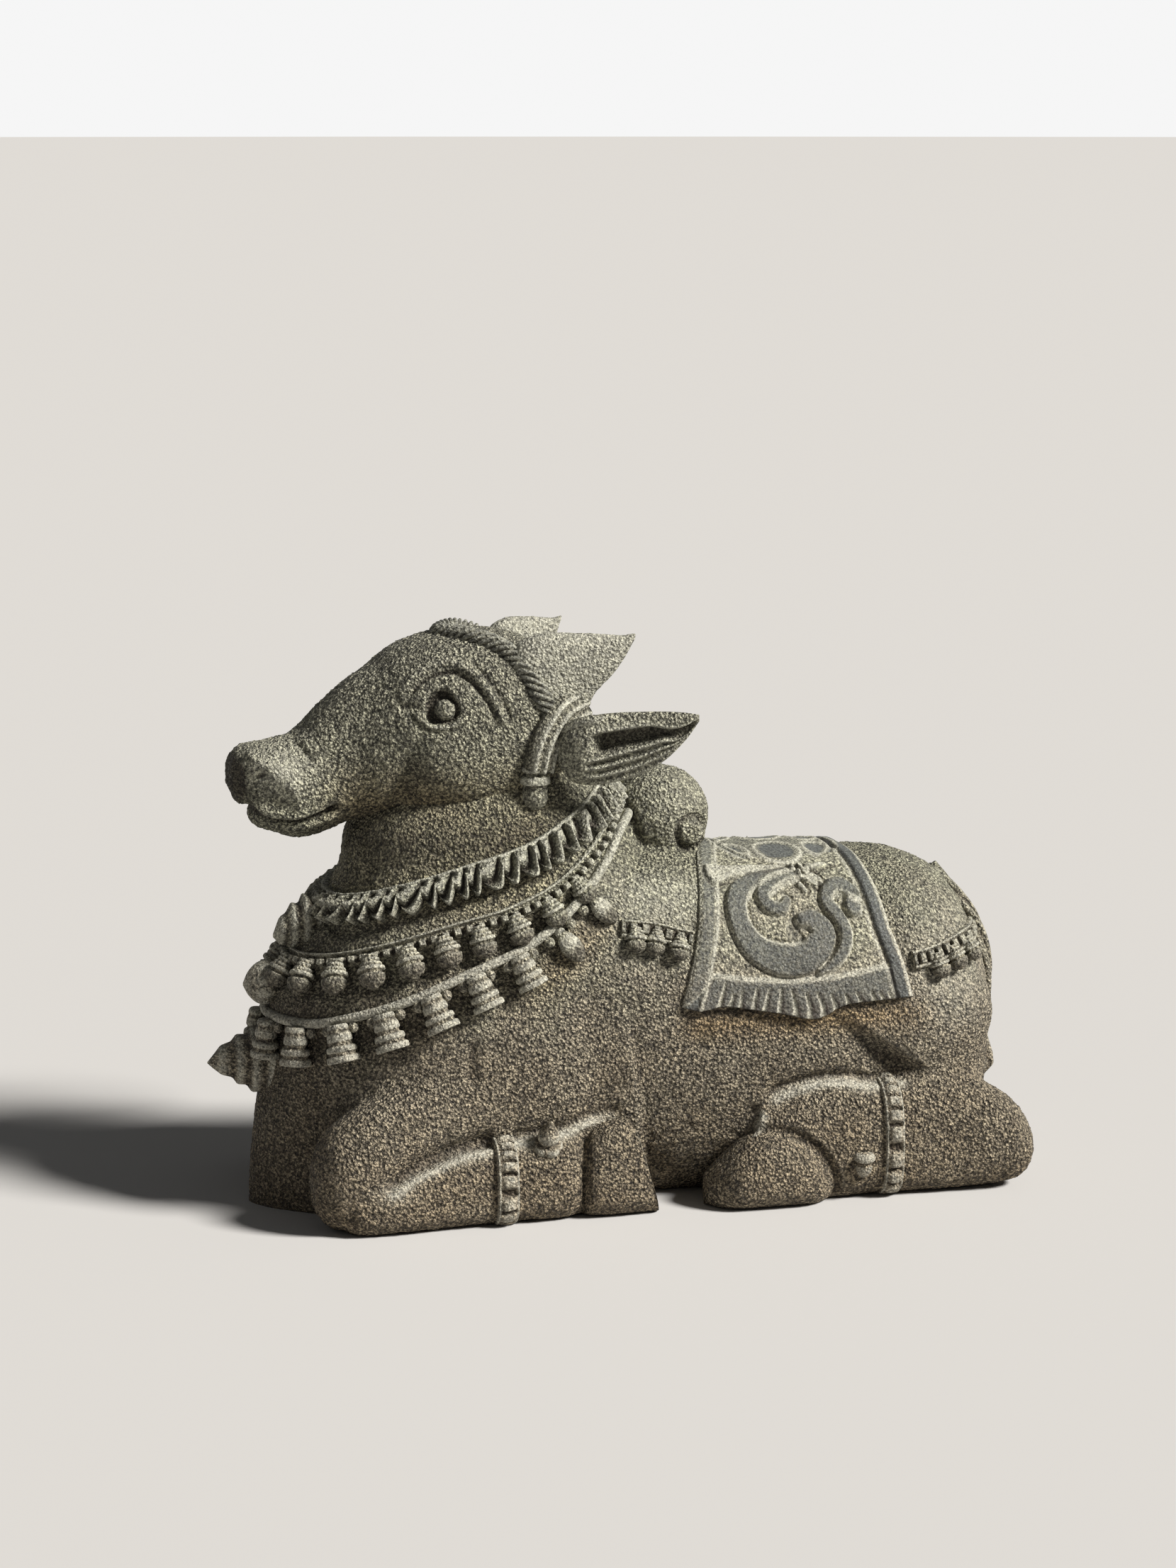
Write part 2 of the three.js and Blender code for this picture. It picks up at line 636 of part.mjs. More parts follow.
function makeHorn(side) {
  const root = new THREE.Vector3(hornRoot[0], side * hornRoot[1], hornRoot[2]);
  const [x, out, z] = hornTips[side];
  const tip = new THREE.Vector3(x, side * out, z);
  const rings = spread(0, 1, 6).map((share) => {
    const middle = root.clone().lerp(tip, share);
    const taper = (1 - share) ** 0.85;
    const half = hornTipHalfLength + (hornRootHalfLength - hornTipHalfLength) * taper;
    const thick = hornTipHalfThickness + (hornRootHalfThickness - hornTipHalfThickness) * taper;
    const lean = hornRootLean + (hornTipLean - hornRootLean) * share;
    const rise = new THREE.Vector3(-Math.cos(lean), 0, Math.sin(lean));
    return turnsRound(10).map((turn) => {
      const [c, s] = rounded(turn, 2.2);
      return middle.clone().addScaledVector(rise, c * half).add(new THREE.Vector3(0, s * thick, 0));
    });
  });
  return seated(solid(skin(rings)), headRoom);
}

// A leaf whose outer face is hollowed between its two rims.
function makeEar(side) {
  const reach = earReach[side];
  const [, root] = earStations[0];
  const rings = spread(0, 1, 7).map((share) => {
    const [, drawnX, out, z, half, thick] = along(earStations, share);
    const x = root + reach * (drawnX - root);
    const next = along(earStations, Math.min(share + 0.02, 1));
    const onward = new THREE.Vector3(reach * (next[1] - drawnX), side * (next[2] - out), 0).normalize();
    const facing = new THREE.Vector3(onward.y, -onward.x, 0).multiplyScalar(-side);
    const cup = 2 * earCup * Math.sin(Math.PI * Math.min(share * 1.2, 1));
    return turnsRound(12).map((turn) => {
      const [c, s] = rounded(turn, 2);
      const hollow = s > 0 ? s * (1 - cup * (1 - c * c)) : s;
      return new THREE.Vector3(x, side * out, z + c * half).addScaledVector(facing, hollow * thick);
    });
  });
  return solid(skin(rings));
}

// Twisted rope over the brow, from one ear to the other.
function makeBrowRope(extra = 0) {
  const crown = along(headStations, browRopeCrown)[1] - browRopeSink;
  const half = (side) => browRopeLine.map(([place, height]) => onFlank(headStations, place, height, side));
  const points = [...half(LEFT), new THREE.Vector3(browRopeCrown, 0, crown), ...half(RIGHT).reverse()];
  const line = smoothLine(points, 31);
  const inside = new THREE.Vector3(...headCore);
  const normals = line.map((point) => point.clone().sub(inside).setX(0).normalize());
  const rope = carried(line, normals, (share) => turnsRound(ropeSides).map((turn) => {
    const lay = browRopeStrands * turn - 2 * Math.PI * browRopeTurns * share;
    const radius = browRopeRadius * (1 + browRopeLobe * Math.cos(lay)) + extra;
    return [radius * Math.cos(turn), radius * Math.sin(turn)];
  }));
  return extra ? solid(rope) : seated(solid(rope), headRoom);
}

// Grooved strap over the cheek that ends in two rings and a small bell.
function makeEarStrap(side, earRoom) {
  const { line, normals } = flankLine(headStations, earStrapLine, side, 7);
  const strap = solid(carried(line, normals, () => (
    bandProfile(earStrapHalfWidth, earStrapThickness, -seatDepth)
  )));
  const [place] = earStrapLine.at(-1);
  const base = onFlank(headStations, place, (tasselTop + tasselBottom) / 2, side);
  const r = tasselRadius;
  const length = tasselTop - tasselBottom;
  const tassel = new THREE.LatheGeometry([
    [0, 2], [r * 0.9, 2], [r * 1.1, 0.5], [r * 0.85, -1], [r * 1.1, -2.5], [r * 0.8, -4],
    [r, -length * 0.55], [r * 1.12, -length * 0.85], [r * 0.6, -length], [0, -length],
  ].map(([x, y]) => new THREE.Vector2(x, y)).reverse(), 9)
    .rotateX(Math.PI / 2).translate(base.x, base.y + side * r * 0.3, tasselTop);
  return seated(strap.add(solid(tassel)), headRoom, neckRoom, earRoom);
}

// Closed line round the neck whose height depends on the place along the body.
function neckLine(heights, count) {
  const fine = turnsRound(360).map((turn) => {
    let height = heights[0][1];
    for (let i = 0; i < 30; i += 1) {
      const x = neckPoint(height, turn).x;
      height += 0.6 * (along(heights, x)[1] - height);
    }
    return { height, turn, point: neckPoint(height, turn) };
  });
  const lengths = [0];
  fine.forEach((here, i) => {
    lengths.push(lengths[i] + here.point.distanceTo(fine[(i + 1) % fine.length].point));
  });
  const total = lengths.at(-1);
  const picked = Array.from({ length: count }, (_, i) => {
    const want = total * i / count;
    let k = 0;
    while (lengths[k + 1] <= want) k += 1;
    const t = (want - lengths[k]) / (lengths[k + 1] - lengths[k]);
    const here = fine[k];
    const next = fine[(k + 1) % fine.length];
    const turnTo = next.turn < here.turn ? next.turn + 2 * Math.PI : next.turn;
    const turn = here.turn + (turnTo - here.turn) * t;
    const height = here.height + (next.height - here.height) * t;
    return { turn, height, point: neckPoint(height, turn) };
  });
  return {
    line: picked.map(({ point }) => point),
    normals: picked.map(({ turn, height }) => {
      const inside = new THREE.Vector3(along(neckStations, height)[4], 0, height);
      return outward((u, v) => neckPoint(u, v), height, turn, inside);
    }),
  };
}

// Upper collar: slanting strands under a smooth cord.
function makeCollar() {
  const { line, normals } = neckLine(collarLine, collarStrands * 2);
  const band = carried(line, normals, (share) => {
    const slant = (up) => collarRidge * Math.cos(2 * Math.PI * (collarStrands * share + up));
    const h = collarHalfHeight;
    const t = collarThickness - collarRidge;
    return [
      [-h, dressLift], [h, dressLift], [h * 0.8, t + 1.4], [h * 0.35, t + slant(0)],
      [-h, t * 0.6 + slant(0.5) * 0.6],
    ];
  }, true);
  return solid(band);
}

// Where pieces hang along a closed line: evenly, on both sides of the front, short of the nape.
function hangPlaces(count) {
  return Array.from({ length: count }, (_, i) => {
    const share = (i + 0.5) / count;
    return share < 0.5 ? share * (1 - napeShare) : 1 - (1 - share) * (1 - napeShare);
  });
}

const sizeTowardsNape = (share) => 1 - bellShrink * (2 * Math.min(share, 1 - share)) ** 2;

// Frame for a thing that hangs on the neck below a line.
function hangFrame(ring, share) {
  const i = Math.round(share * ring.line.length) % ring.line.length;
  const out = ring.normals[i];
  const onward = ring.line[(i + 1) % ring.line.length].clone().sub(ring.line[i]).normalize();
  const up = out.clone().cross(onward).normalize();
  if (up.z < 0) up.negate();
  return { point: ring.line[i], out, up };
}

// A turned thing that hangs below a line, flattened a little towards the neck.
function hung(profile, sides, frame, drop) {
  const across = frame.up.clone().cross(frame.out).normalize();
  const out = across.clone().cross(frame.up).normalize();
  const turn = new THREE.Matrix4().makeBasis(across, frame.up, out);
  const reach = Math.max(...profile.map(([radius]) => radius)) * bellFlatness;
  const spot = frame.point.clone().addScaledVector(frame.up, -drop)
    .addScaledVector(frame.out, reach + dressLift);
  return solid(new THREE.LatheGeometry(profile.map(([x, y]) => new THREE.Vector2(x, y)), sides)
    .scale(1, 1, bellFlatness).applyMatrix4(turn).translate(spot.x, spot.y, spot.z));
}

// Bell necklace: a band of square beads with round slit bells under it.
function makeBellNecklace(...hosts) {
  const ring = neckLine(bellLine, bandBeads * 2);
  const band = carried(ring.line, ring.normals, (share) => {
    const tooth = bandTooth * Math.cos(2 * Math.PI * bandBeads * share);
    return bandProfile(bandHalfHeight, bandThickness + tooth);
  }, true);
  let body = solid(band);
  for (const share of hangPlaces(bellCount)) {
    const size = sizeTowardsNape(share);
    const r = bellRadius * size;
    const bell = [
      [0, -r], [r, -r * 0.3], [r * 0.6, r * 1.6], [0, r * 1.6],
    ];
    body = body.add(hung(bell, 6, hangFrame(ring, share), bellDrop * size));
  }
  return hosts.length ? largest(hosts.reduce((rest, host) => rest.subtract(host), body)) : body;
}

// Lower necklace: a smooth cord with flared cup bells.
function makeCupNecklace(...hosts) {
  const ring = neckLine(cordLine, cordSteps);
  let body = solid(carried(ring.line, ring.normals, () => bandProfile(cordHalfHeight, cordThickness), true));
  for (const share of hangPlaces(cupCount)) {
    const size = sizeTowardsNape(share);
    const cup = [
      [0, -cupLength + 2.5], [cupMouthRadius, -cupLength], [cupTopRadius, cupDrop], [0, cupDrop],
    ].map(([radius, height]) => [radius * size, height * size]);
    body = body.add(hung(cup, 6, hangFrame(ring, share), cupDrop * size));
  }
  return hosts.length ? largest(hosts.reduce((rest, host) => rest.subtract(host), body)) : body;
}

// A bud that stands out from the chest in narrowing steps.
function makePendant({ size, steps, point }, ...hosts) {
  const [height, reach, halfHeight, halfWidth] = size;
  const front = neckPoint(height, 0);
  const slices = 3 * steps + 1;
  const rings = spread(0, 1, slices + 1).map((share) => {
    const taper = (1 - share ** 1.6) ** point;
    const step = 1 + 0.14 * Math.sin(2 * Math.PI * steps * share);
    const size = Math.max(taper * step, 0.06);
    return turnsRound(8).map((turn) => new THREE.Vector3(
      front.x + seatDepth - share * (reach + seatDepth),
      halfWidth * size * Math.cos(turn),
      front.z + halfHeight * size * Math.sin(turn),
    ));
  });
  return seated(solid(skin(rings)), neckRoom, ...hosts);
}

function makeHump() {
  const curl = new THREE.CylinderGeometry(humpCurlRadius, humpCurlRadius, humpCurlWidth, 14)
    .translate(...humpCurlCentre);
  return seated(ball(humpCentre, humpRadii, 14).add(solid(curl)), trunkRoom, neckRoom);
}

const loftedLeg = (stations, side) => lofted(
  (place, turn) => legPoint(stations, place, turn, side), ...ends(stations), legRings, legSides,
);

// The forearm comes down to the knee and the shank runs back under it.
function makeForeLeg(side) {
  const skins = [forearmStations, foreShankStations].map((stations) => loftedLeg(stations, side));
  const [leg, room] = [0, seatGap].map((wide) => skins.map((part) => solid(grown(part, wide)))
    .reduce((whole, part) => whole.add(part)));
  return { leg: seated(leg, neckRoom, trunkRoom), room };
}

// Fore hoof: its heel slants down and back to the ground.
function makeForeHoof(side) {
  const rings = foreHoofStations.map(([place]) => turnsRound(legSides)
    .map((turn) => legPoint(foreHoofStations, place, turn, side)));
  const last = foreHoofStations.at(-1);
  const heel = rings.at(-1).map((point) => {
    const down = (last[1] - point.z) / last[1];
    return point.clone().add(new THREE.Vector3(hoofHeelReach * down, 0, 0));
  });
  rings.push(heel);
  rings[rings.length - 2] = rings.at(-2).map((point) => point.clone().add(new THREE.Vector3(-1, 0, 0)));
  return seated(solid(skin(rings)), neckRoom, trunkRoom);
}

function makeHindHoof(side) {
  return seated(solid(loftedLeg(hindHoofStations, side)), trunkRoom);
}

// Beaded ring round a leg, cut to the leg and to whatever the leg lies against.
function makeAnklet(stations, { span, thickness }, side, ...hosts) {
  const [from, to] = span;
  const turns = turnsRound(ankletBeads * 2);
  const rings = [[0, 0], [0, 0.8], [0.3, 1], [0.7, 1], [1, 0.8], [1, 0]].map(([share, height]) => {
    const place = from + (to - from) * share;
    const [, top, bottom, , out] = along(stations, place);
    const middle = new THREE.Vector3(place, side * out, (top + bottom) / 2);
    return turns.map((turn, i) => {
      const point = legPoint(stations, place, turn, side);
      const away = point.clone().sub(middle).setX(0).normalize();
      const bead = i % 2 ? ankletBead : 0;
      return point.addScaledVector(away, height > 0 ? height * thickness - bead : dressLift / 2);
    });
  });
  return seated(solid(skin(rings, true)), ...hosts);
}

// Saddle cloth: two offset sheets over the back, joined at the edges, with a raised border and a fringe.
const clothShare = (share, onward) => {
  const [, top, , , widest, above] = along(trunkStations, along(clothFront, share)[1]);
  const hem = clothHemHeight - clothHemDip * Math.sin(Math.PI * onward) ** 2;
  const low = Math.min((hem - widest) / (top - widest), 0.99);
  const hemTurn = Math.asin(Math.max(low, 0.01) ** (above / 2));
  return Math.PI / 2 - share * (Math.PI / 2 - hemTurn);
};

function clothPoint(signedShare, onward, lift) {
  const share = Math.abs(signedShare);
  const side = signedShare < 0 ? LEFT : RIGHT;
  const place = along(clothFront, share)[1] * (1 - onward) + along(clothRear, share)[1] * onward;
  const turn = clothShare(share, onward);
  const surface = (u, v) => lengthwisePoint(trunkStations, u, v, side);
  const inside = new THREE.Vector3(place, 0, along(trunkStations, place)[4]);
  return surface(place, turn).addScaledVector(outward(surface, place, turn, inside), lift);
}

function makeSaddleCloth() {
  const shares = spread(-1, 1, 21);
  const edge = clothBorderWidth / (clothRear[2][1] - clothFront[2][1]);
  const onwards = [0, edge, edge * 1.12, ...spread(edge * 3, 1 - edge * 3, 3), 1 - edge * 1.12, 1 - edge, 1];
  const rings = shares.map((share) => {
    const hem = Math.abs(share) > 0.85;
    const top = onwards.map((onward, j) => {
      const border = hem || j < 2 || j > onwards.length - 3;
      return clothPoint(share, onward, border ? clothBorderThickness : clothThickness);
    });
    const under = [1, 0.66, 0.33, 0].map((onward) => clothPoint(share, onward, dressLift));
    return [...top, ...under];
  });
  let cloth = solid(skin(rings));
  for (const side of [LEFT, RIGHT]) {
    for (let i = 0; i < fringeCuts; i += 1) {
      const onward = (i + 1) / (fringeCuts + 1);
      const low = clothPoint(side, onward, clothBorderThickness);
      cloth = cloth.subtract(block(
        [low.x, low.y, low.z + fringeHeight / 2 - 1],
        [fringeCutWidth, 2 * fringeCutDepth, fringeHeight + 2],
      ));
    }
  }
  return cloth;
}

// Scrolls raised on the side of the cloth: a large curl, a stem with a ball, and the tie between them.
function makeClothScroll(side) {
  const foot = clothThickness + dressLift + seatGap;
  const part = (pairs, count) => {
    const { line, normals } = flankLine(trunkStations, pairs, side, count);
    const widths = pairs.map(([, , width], i) => [i / (pairs.length - 1), width]);
    return solid(carried(line, normals, (share) => {
      const [, width] = along(widths, share);
      return bandProfile(width, foot + scrollThickness, foot);
    }));
  };
  return part(scrollLine, 17).add(part(smallCurlLine, 7)).add(part(stemLine, 11)).add(part(scrollTie, 3));
}

// A strap on the flank with round bells under it.
function makeStrap(line, halfWidth, thickness, bells, side, ...hosts) {
  const route = flankLine(trunkStations, line, side, 15);
  let body = solid(carried(route.line, route.normals, (share) => {
    const tooth = 0.35 * Math.cos(2 * Math.PI * 7 * share);
    return bandProfile(halfWidth, thickness + tooth, -seatDepth);
  }));
  for (const share of bells) {
    const i = Math.round(share * (route.line.length - 1));
    const spot = route.line[i].clone().add(new THREE.Vector3(0, 0, -halfWidth - strapBellRadius * 0.8));
    const flat = onFlank(trunkStations, spot.x, spot.z, side);
    const out = flat.y + side * (strapBellRadius * bellFlatness + dressLift);
    const radii = [strapBellRadius, strapBellRadius * bellFlatness, strapBellRadius];
    body = body.add(ball([flat.x, out, flat.z], radii, 8));
  }
  return seated(body, trunkRoom, ...hosts);
}

function makeTail() {
  const points = tailLine.map((point) => new THREE.Vector3(...point));
  const line = smoothLine(points, 11);
  const normals = line.map(() => new THREE.Vector3(0, 1, 0));
  const rope = carried(line, normals, () => turnsRound(7)
    .map((turn) => [tailRadius * Math.cos(turn), tailRadius * Math.sin(turn)]));
  const tuft = ball(tuftCentre, [tuftRadius * 0.8, tuftRadius, tuftRadius * 1.2], 10);
  return solid(rope).add(tuft);
}

function makeBud(stations, { spot, lean, radius }, side, ...hosts) {
  const [x, z] = spot;
  const base = onLeg(stations, x, z - radius * 0.75, side);
  const r = radius;
  const bud = new THREE.LatheGeometry([
    [0, -r], [r * 0.75, -r * 0.6], [r, 0], [r * 0.6, r * 0.8], [r * 0.15, r * 1.5], [0, r * 1.5],
  ].map(([u, v]) => new THREE.Vector2(u, v)), 10);
  bud.rotateX(Math.PI / 2).rotateY(lean).translate(x, base.y - side * budInset, z);
  return seated(solid(bud), ...hosts);
}

// Point on the outer side of a leg at a place and a height.
function onLeg(table, place, height, side) {
  const [x, top, bottom, half, out, squareness] = along(table, place);
  const share = Math.min(Math.abs(height - (top + bottom) / 2) / ((top - bottom) / 2), 1);
  return new THREE.Vector3(x, side * (out + half * (1 - share ** squareness) ** (1 / squareness)), height);
}

const group = new THREE.Group();

function addMesh(name, body, material) {
  const mesh = new THREE.Mesh(surfaceOf(body), material);
  mesh.name = name;
  group.add(mesh);
}

// Room that a finished form takes with its clearance.
const roomOf = (body, gap = seatGap) => solid(grown(surfaceOf(body), gap));

const mass = haunchSkins.reduce((body, haunch) => body.add(solid(haunch)), solid(trunkSkin));
const trunk = largest(mass.subtract(neckRoom).subtract(ground));
const neck = largest(solid(neckSkin).subtract(headRoom).subtract(ground));
addMesh('trunk', trunk, granite);
addMesh('neck_and_chest', neck, granite);
addMesh('head', carveFace(solid(headSkin)), granite);

const tail = makeTail();
const browRope = makeBrowRope();
const ropeRoom = makeBrowRope(seatGap);
addMesh('brow_rope', browRope, graniteDark);

const sides = [[LEFT, 'left'], [RIGHT, 'right']];
const collar = makeCollar();
const collarRoom = roomOf(collar);
const bellNecklace = makeBellNecklace(collarRoom);
const bellRoom = roomOf(bellNecklace);
const cupNecklace = makeCupNecklace(bellRoom);
const cupRoom = roomOf(cupNecklace, 2 * seatGap).add(cupNecklace);
const hump = largest(makeHump().subtract(collarRoom).subtract(bellRoom).subtract(cupRoom));
const humpRoom = roomOf(hump);
addMesh('hump', hump, granite);
addMesh('rope_collar', collar, graniteRubbed);
addMesh('bell_necklace', bellNecklace, graniteRubbed);
addMesh('cup_bell_necklace', cupNecklace, graniteRubbed);
for (const [name, values] of Object.entries(pendants)) {
  addMesh(name, makePendant(values, collarRoom, bellRoom, cupRoom), granite);
}

for (const [side, word] of sides) {
  const ear = makeEar(side).subtract(headRoom);
  const earRoom = roomOf(largest(ear), 1.5 * seatGap).add(ear);
  addMesh(`ear_${word}`, largest(ear.subtract(ropeRoom)), granite);
  const horn = largest(makeHorn(side).subtract(ropeRoom).subtract(earRoom));
  const hornRoom = roomOf(horn);
  addMesh(`horn_${word}`, horn, granite);
  addMesh(`ear_strap_${word}`, largest(makeEarStrap(side, earRoom).subtract(ropeRoom).subtract(hornRoom)),
    graniteRubbed);

  const { leg: foreLeg, room: foreRoom } = makeForeLeg(side);
  const foreHoof = makeForeHoof(side);
  addMesh(`foreleg_${word}`, foreLeg, granite);
  addMesh(`fore_hoof_${word}`, largest(foreHoof.subtract(foreRoom)), graniteDark);
  addMesh(`fore_anklet_${word}`, makeAnklet(foreShankStations, foreAnklet, side, foreRoom, neckRoom),
    graniteRubbed);
  addMesh(`fore_bud_${word}`, makeBud(foreShankStations, foreBud, side, foreRoom, neckRoom), graniteRubbed);

  const hindHoof = makeHindHoof(side);
  const hindHoofRoom = roomOf(hindHoof);
  const hindLeg = seated(solid(loftedLeg(hindShankStations, side)), trunkRoom, hindHoofRoom);
  addMesh(`hind_hoof_${word}`, hindHoof, graniteDark);
  addMesh(`hind_leg_${word}`, hindLeg, granite);
  addMesh(`hind_anklet_${word}`, makeAnklet(hindShankStations, hindAnklet, side, trunkRoom), graniteRubbed);
  addMesh(`hind_bud_${word}`, makeBud(hindShankStations, hindBud, side, roomOf(hindLeg), trunkRoom),
    graniteRubbed);
}

const saddleCloth = largest(makeSaddleCloth().subtract(humpRoom));
const clothRoom = roomOf(saddleCloth);
addMesh('saddle_cloth', saddleCloth, graniteDark);
for (const [side, word] of sides) {
  const hip = makeStrap(hipLine, hipHalfWidth, hipThickness, [0.12, 0.36, 0.6], side, clothRoom);
  addMesh(`hip_strap_${word}`, hip, graniteRubbed);
  addMesh(`cloth_scroll_${word}`, makeClothScroll(side), graniteScroll);
  addMesh(`girth_strap_${word}`, makeStrap(girthLine, girthHalfWidth, girthThickness, [0.45, 0.85], side,
    clothRoom, cupRoom, bellRoom, neckRoom), graniteRubbed);
}
addMesh('tail', seated(tail, trunkRoom), granite);

// The origin is the middle of the foot of the whole.
const box = new THREE.Box3().setFromObject(group);
group.position.set(-(box.min.x + box.max.x) / 2, -(box.min.y + box.max.y) / 2, -box.min.z);
group.updateMatrixWorld(true);

export default group;
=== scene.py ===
"""Looks of a reclining bull carved from one block of speckled granite, dressed for a temple.

Lengths in the tables are millimetres in the carver's frame: the bull looks along -X, its left flank
faces -Y and Z is up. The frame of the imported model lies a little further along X.
"""

from math import atan, cos, radians, sin

import bmesh
import bpy
import numpy as np
from mathutils import Matrix, Vector


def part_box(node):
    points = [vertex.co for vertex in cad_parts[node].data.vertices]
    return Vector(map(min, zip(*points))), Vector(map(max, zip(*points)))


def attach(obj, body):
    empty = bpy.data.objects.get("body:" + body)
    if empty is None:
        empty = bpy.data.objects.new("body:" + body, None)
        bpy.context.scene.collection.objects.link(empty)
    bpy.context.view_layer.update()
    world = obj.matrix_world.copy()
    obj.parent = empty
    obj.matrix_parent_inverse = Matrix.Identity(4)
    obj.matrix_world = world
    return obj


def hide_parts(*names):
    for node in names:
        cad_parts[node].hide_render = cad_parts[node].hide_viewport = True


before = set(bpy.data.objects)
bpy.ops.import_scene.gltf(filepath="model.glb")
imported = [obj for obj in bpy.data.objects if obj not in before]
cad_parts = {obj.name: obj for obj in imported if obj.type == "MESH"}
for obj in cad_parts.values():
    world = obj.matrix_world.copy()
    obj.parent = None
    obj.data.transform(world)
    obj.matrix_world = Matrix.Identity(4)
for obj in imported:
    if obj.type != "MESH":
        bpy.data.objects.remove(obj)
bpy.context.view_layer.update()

bl_info = {
    "name": "Granite bull",
    "version": (1, 0, 0),
    "blender": (4, 5, 0),
    "location": "3D View > Sidebar > Granite bull",
    "description": "Builds the stone surfaces of a dressed reclining bull over its solid model",
    "category": "Add Mesh",
}

LEFT, RIGHT = -1, 1
SIDES = ((LEFT, "left"), (RIGHT, "right"))

# Trunk, by place along the back: spine height, belly height, half width, height of the widest line,
# squareness above it and below it.
TRUNK = (
    (-70, 128, -5, 48, 72, 2.4, 2.2),
    (-30, 146, -5, 56, 72, 2.3, 2.3),
    (10, 147, -5, 57.5, 74, 2.3, 2.4),
    (36, 141.4, -5, 58.5, 75, 2.35, 2.4),
    (70, 140.6, -5, 59, 76, 2.4, 2.4),
    (103, 138.2, -5, 58.5, 76, 2.4, 2.4),
    (122, 135.8, -5, 56.5, 74, 2.3, 2.4),
    (140, 127.3, -4, 51, 70, 2.2, 2.4),
    (150, 111.5, 0, 39, 64, 2.1, 2.4),
    (157, 99, 30, 23, 68, 2, 2.2),
    (161, 86, 64, 10, 75, 2, 2),
)
# Neck and chest, by height: front edge, back edge, half width, place of the widest line, squareness of
# the front and of the back.
NECK = (
    (-6, -160, -4, 50, -66, 1.55, 4),
    (24, -158, -4, 56, -70, 1.65, 4),
    (44, -155, -4, 59.5, -72, 1.8, 4),
    (70, -151, -5, 61, -72, 1.95, 3.6),
    (90, -148.5, -2, 59.5, -70, 2, 3.2),
    (105, -140.5, 4, 56.5, -66, 2.1, 2.8),
    (119, -130.5, 9, 53, -60, 2.2, 2.5),
    (131, -123.5, 11, 49.5, -57, 2.2, 2.3),
    (142, -118.5, 9.5, 46, -55, 2.2, 2.2),
    (156, -116, 4, 42, -54, 2.2, 2.2),
    (168, -108, -6, 37, -52, 2.2, 2.2),
    (180, -92, -16, 30, -50, 2.2, 2.2),
    (190, -75, -28, 18, -48, 2.2, 2.2),
)
# Head, by place from the muzzle to the poll: top, jaw, half width, height of the widest line, squareness
# above it and below it.
HEAD = (
    (-165.8, 184.5, 176.5, 11.5, 180, 2.8, 2.8),
    (-164.3, 188.3, 173, 15.5, 180, 3, 2.8),
    (-159.8, 191.8, 167.5, 18.8, 179, 2.8, 2.6),
    (-155.6, 193, 161.5, 20.5, 178, 2.6, 2.4),
    (-148, 194.5, 157, 22, 177, 2.5, 2.3),
    (-138, 197.5, 154, 21.5, 176, 2.4, 2.2),
    (-127, 208.5, 156, 21, 178, 2.3, 2.2),
    (-117, 217.5, 160, 23.5, 182, 2.3, 2.2),
    (-107, 223.5, 161, 28.5, 187, 2.3, 2.2),
    (-95, 232, 159.5, 34, 192, 2.3, 2.2),
    (-82, 236.5, 158, 37.5, 195, 2.35, 2.2),
    (-68, 238, 157, 39, 196, 2.4, 2.2),
    (-55, 237.5, 158, 39, 196, 2.4, 2.2),
    (-42, 234, 162, 37, 197, 2.35, 2.2),
    (-30, 226, 169, 31.5, 198, 2.2, 2.1),
    (-20, 215, 178, 22, 198, 2.1, 2),
    (-14, 204, 188, 9, 197, 2, 2),
)
# Legs, by place along the body: top, bottom, half width, distance of the middle line from the middle of
# the body, squareness.
FOREARM = (
    (-143.5, 30, 12, 6, 55, 2),
    (-140, 38, 5, 11.5, 55, 2),
    (-133, 46, 0, 15.5, 55, 2.1),
    (-119, 54, 2, 17, 54, 2.1),
    (-94, 62, 20, 15.5, 50, 2.1),
    (-70, 64, 32, 12.5, 48.5, 2),
    (-48, 60, 40, 7, 48, 2),
)
FORE_SHANK = (
    (-136, 28, 6, 8, 56, 2.4),
    (-126, 27, -4, 15, 56, 2.6),
    (-108, 28, -4, 16, 56, 2.7),
    (-92, 31, -4, 15, 55.5, 2.7),
    (-66, 34.5, -4, 14, 54, 2.7),
    (-56, 34.5, -4, 14.5, 53, 2.4),
    (-46, 35, -4, 15.5, 52.5, 2.3),
    (-37, 35.5, -4, 14, 52, 2.4),
    (-30, 33, -2, 10.5, 51, 2.4),
    (-24, 30, 0, 7, 50, 2.4),
)
HIND_SHANK = (
    (33, 26, -3, 9, 49, 2.2),
    (39, 34, -4, 12.5, 50, 2.3),
    (48, 40, -4, 14.5, 50.5, 2.4),
    (73, 46.5, -3, 15.5, 50.5, 2.5),
    (103, 48, -2, 15.5, 50.5, 2.5),
    (126, 48, -2, 16, 51, 2.4),
    (143, 46, 0, 16.5, 52, 2.3),
    (155, 39.5, 2, 15.5, 53, 2.2),
    (162, 31.5, 5, 12, 53, 2.1),
    (166, 23, 12, 5.5, 53, 2),
)
FORE_HOOF = (
    (-31.5, 22, 3, 7, 51.5, 2.2),
    (-30.5, 28, -1, 12, 51.5, 2.3),
    (-28, 34, -4, 15, 51.5, 2.4),
    (-23, 38, -4, 16, 51.5, 2.7),
    (-16, 40, -4, 16, 51, 3.2),
    (-10.5, 40.2, -4, 15, 50.5, 3.6),
)
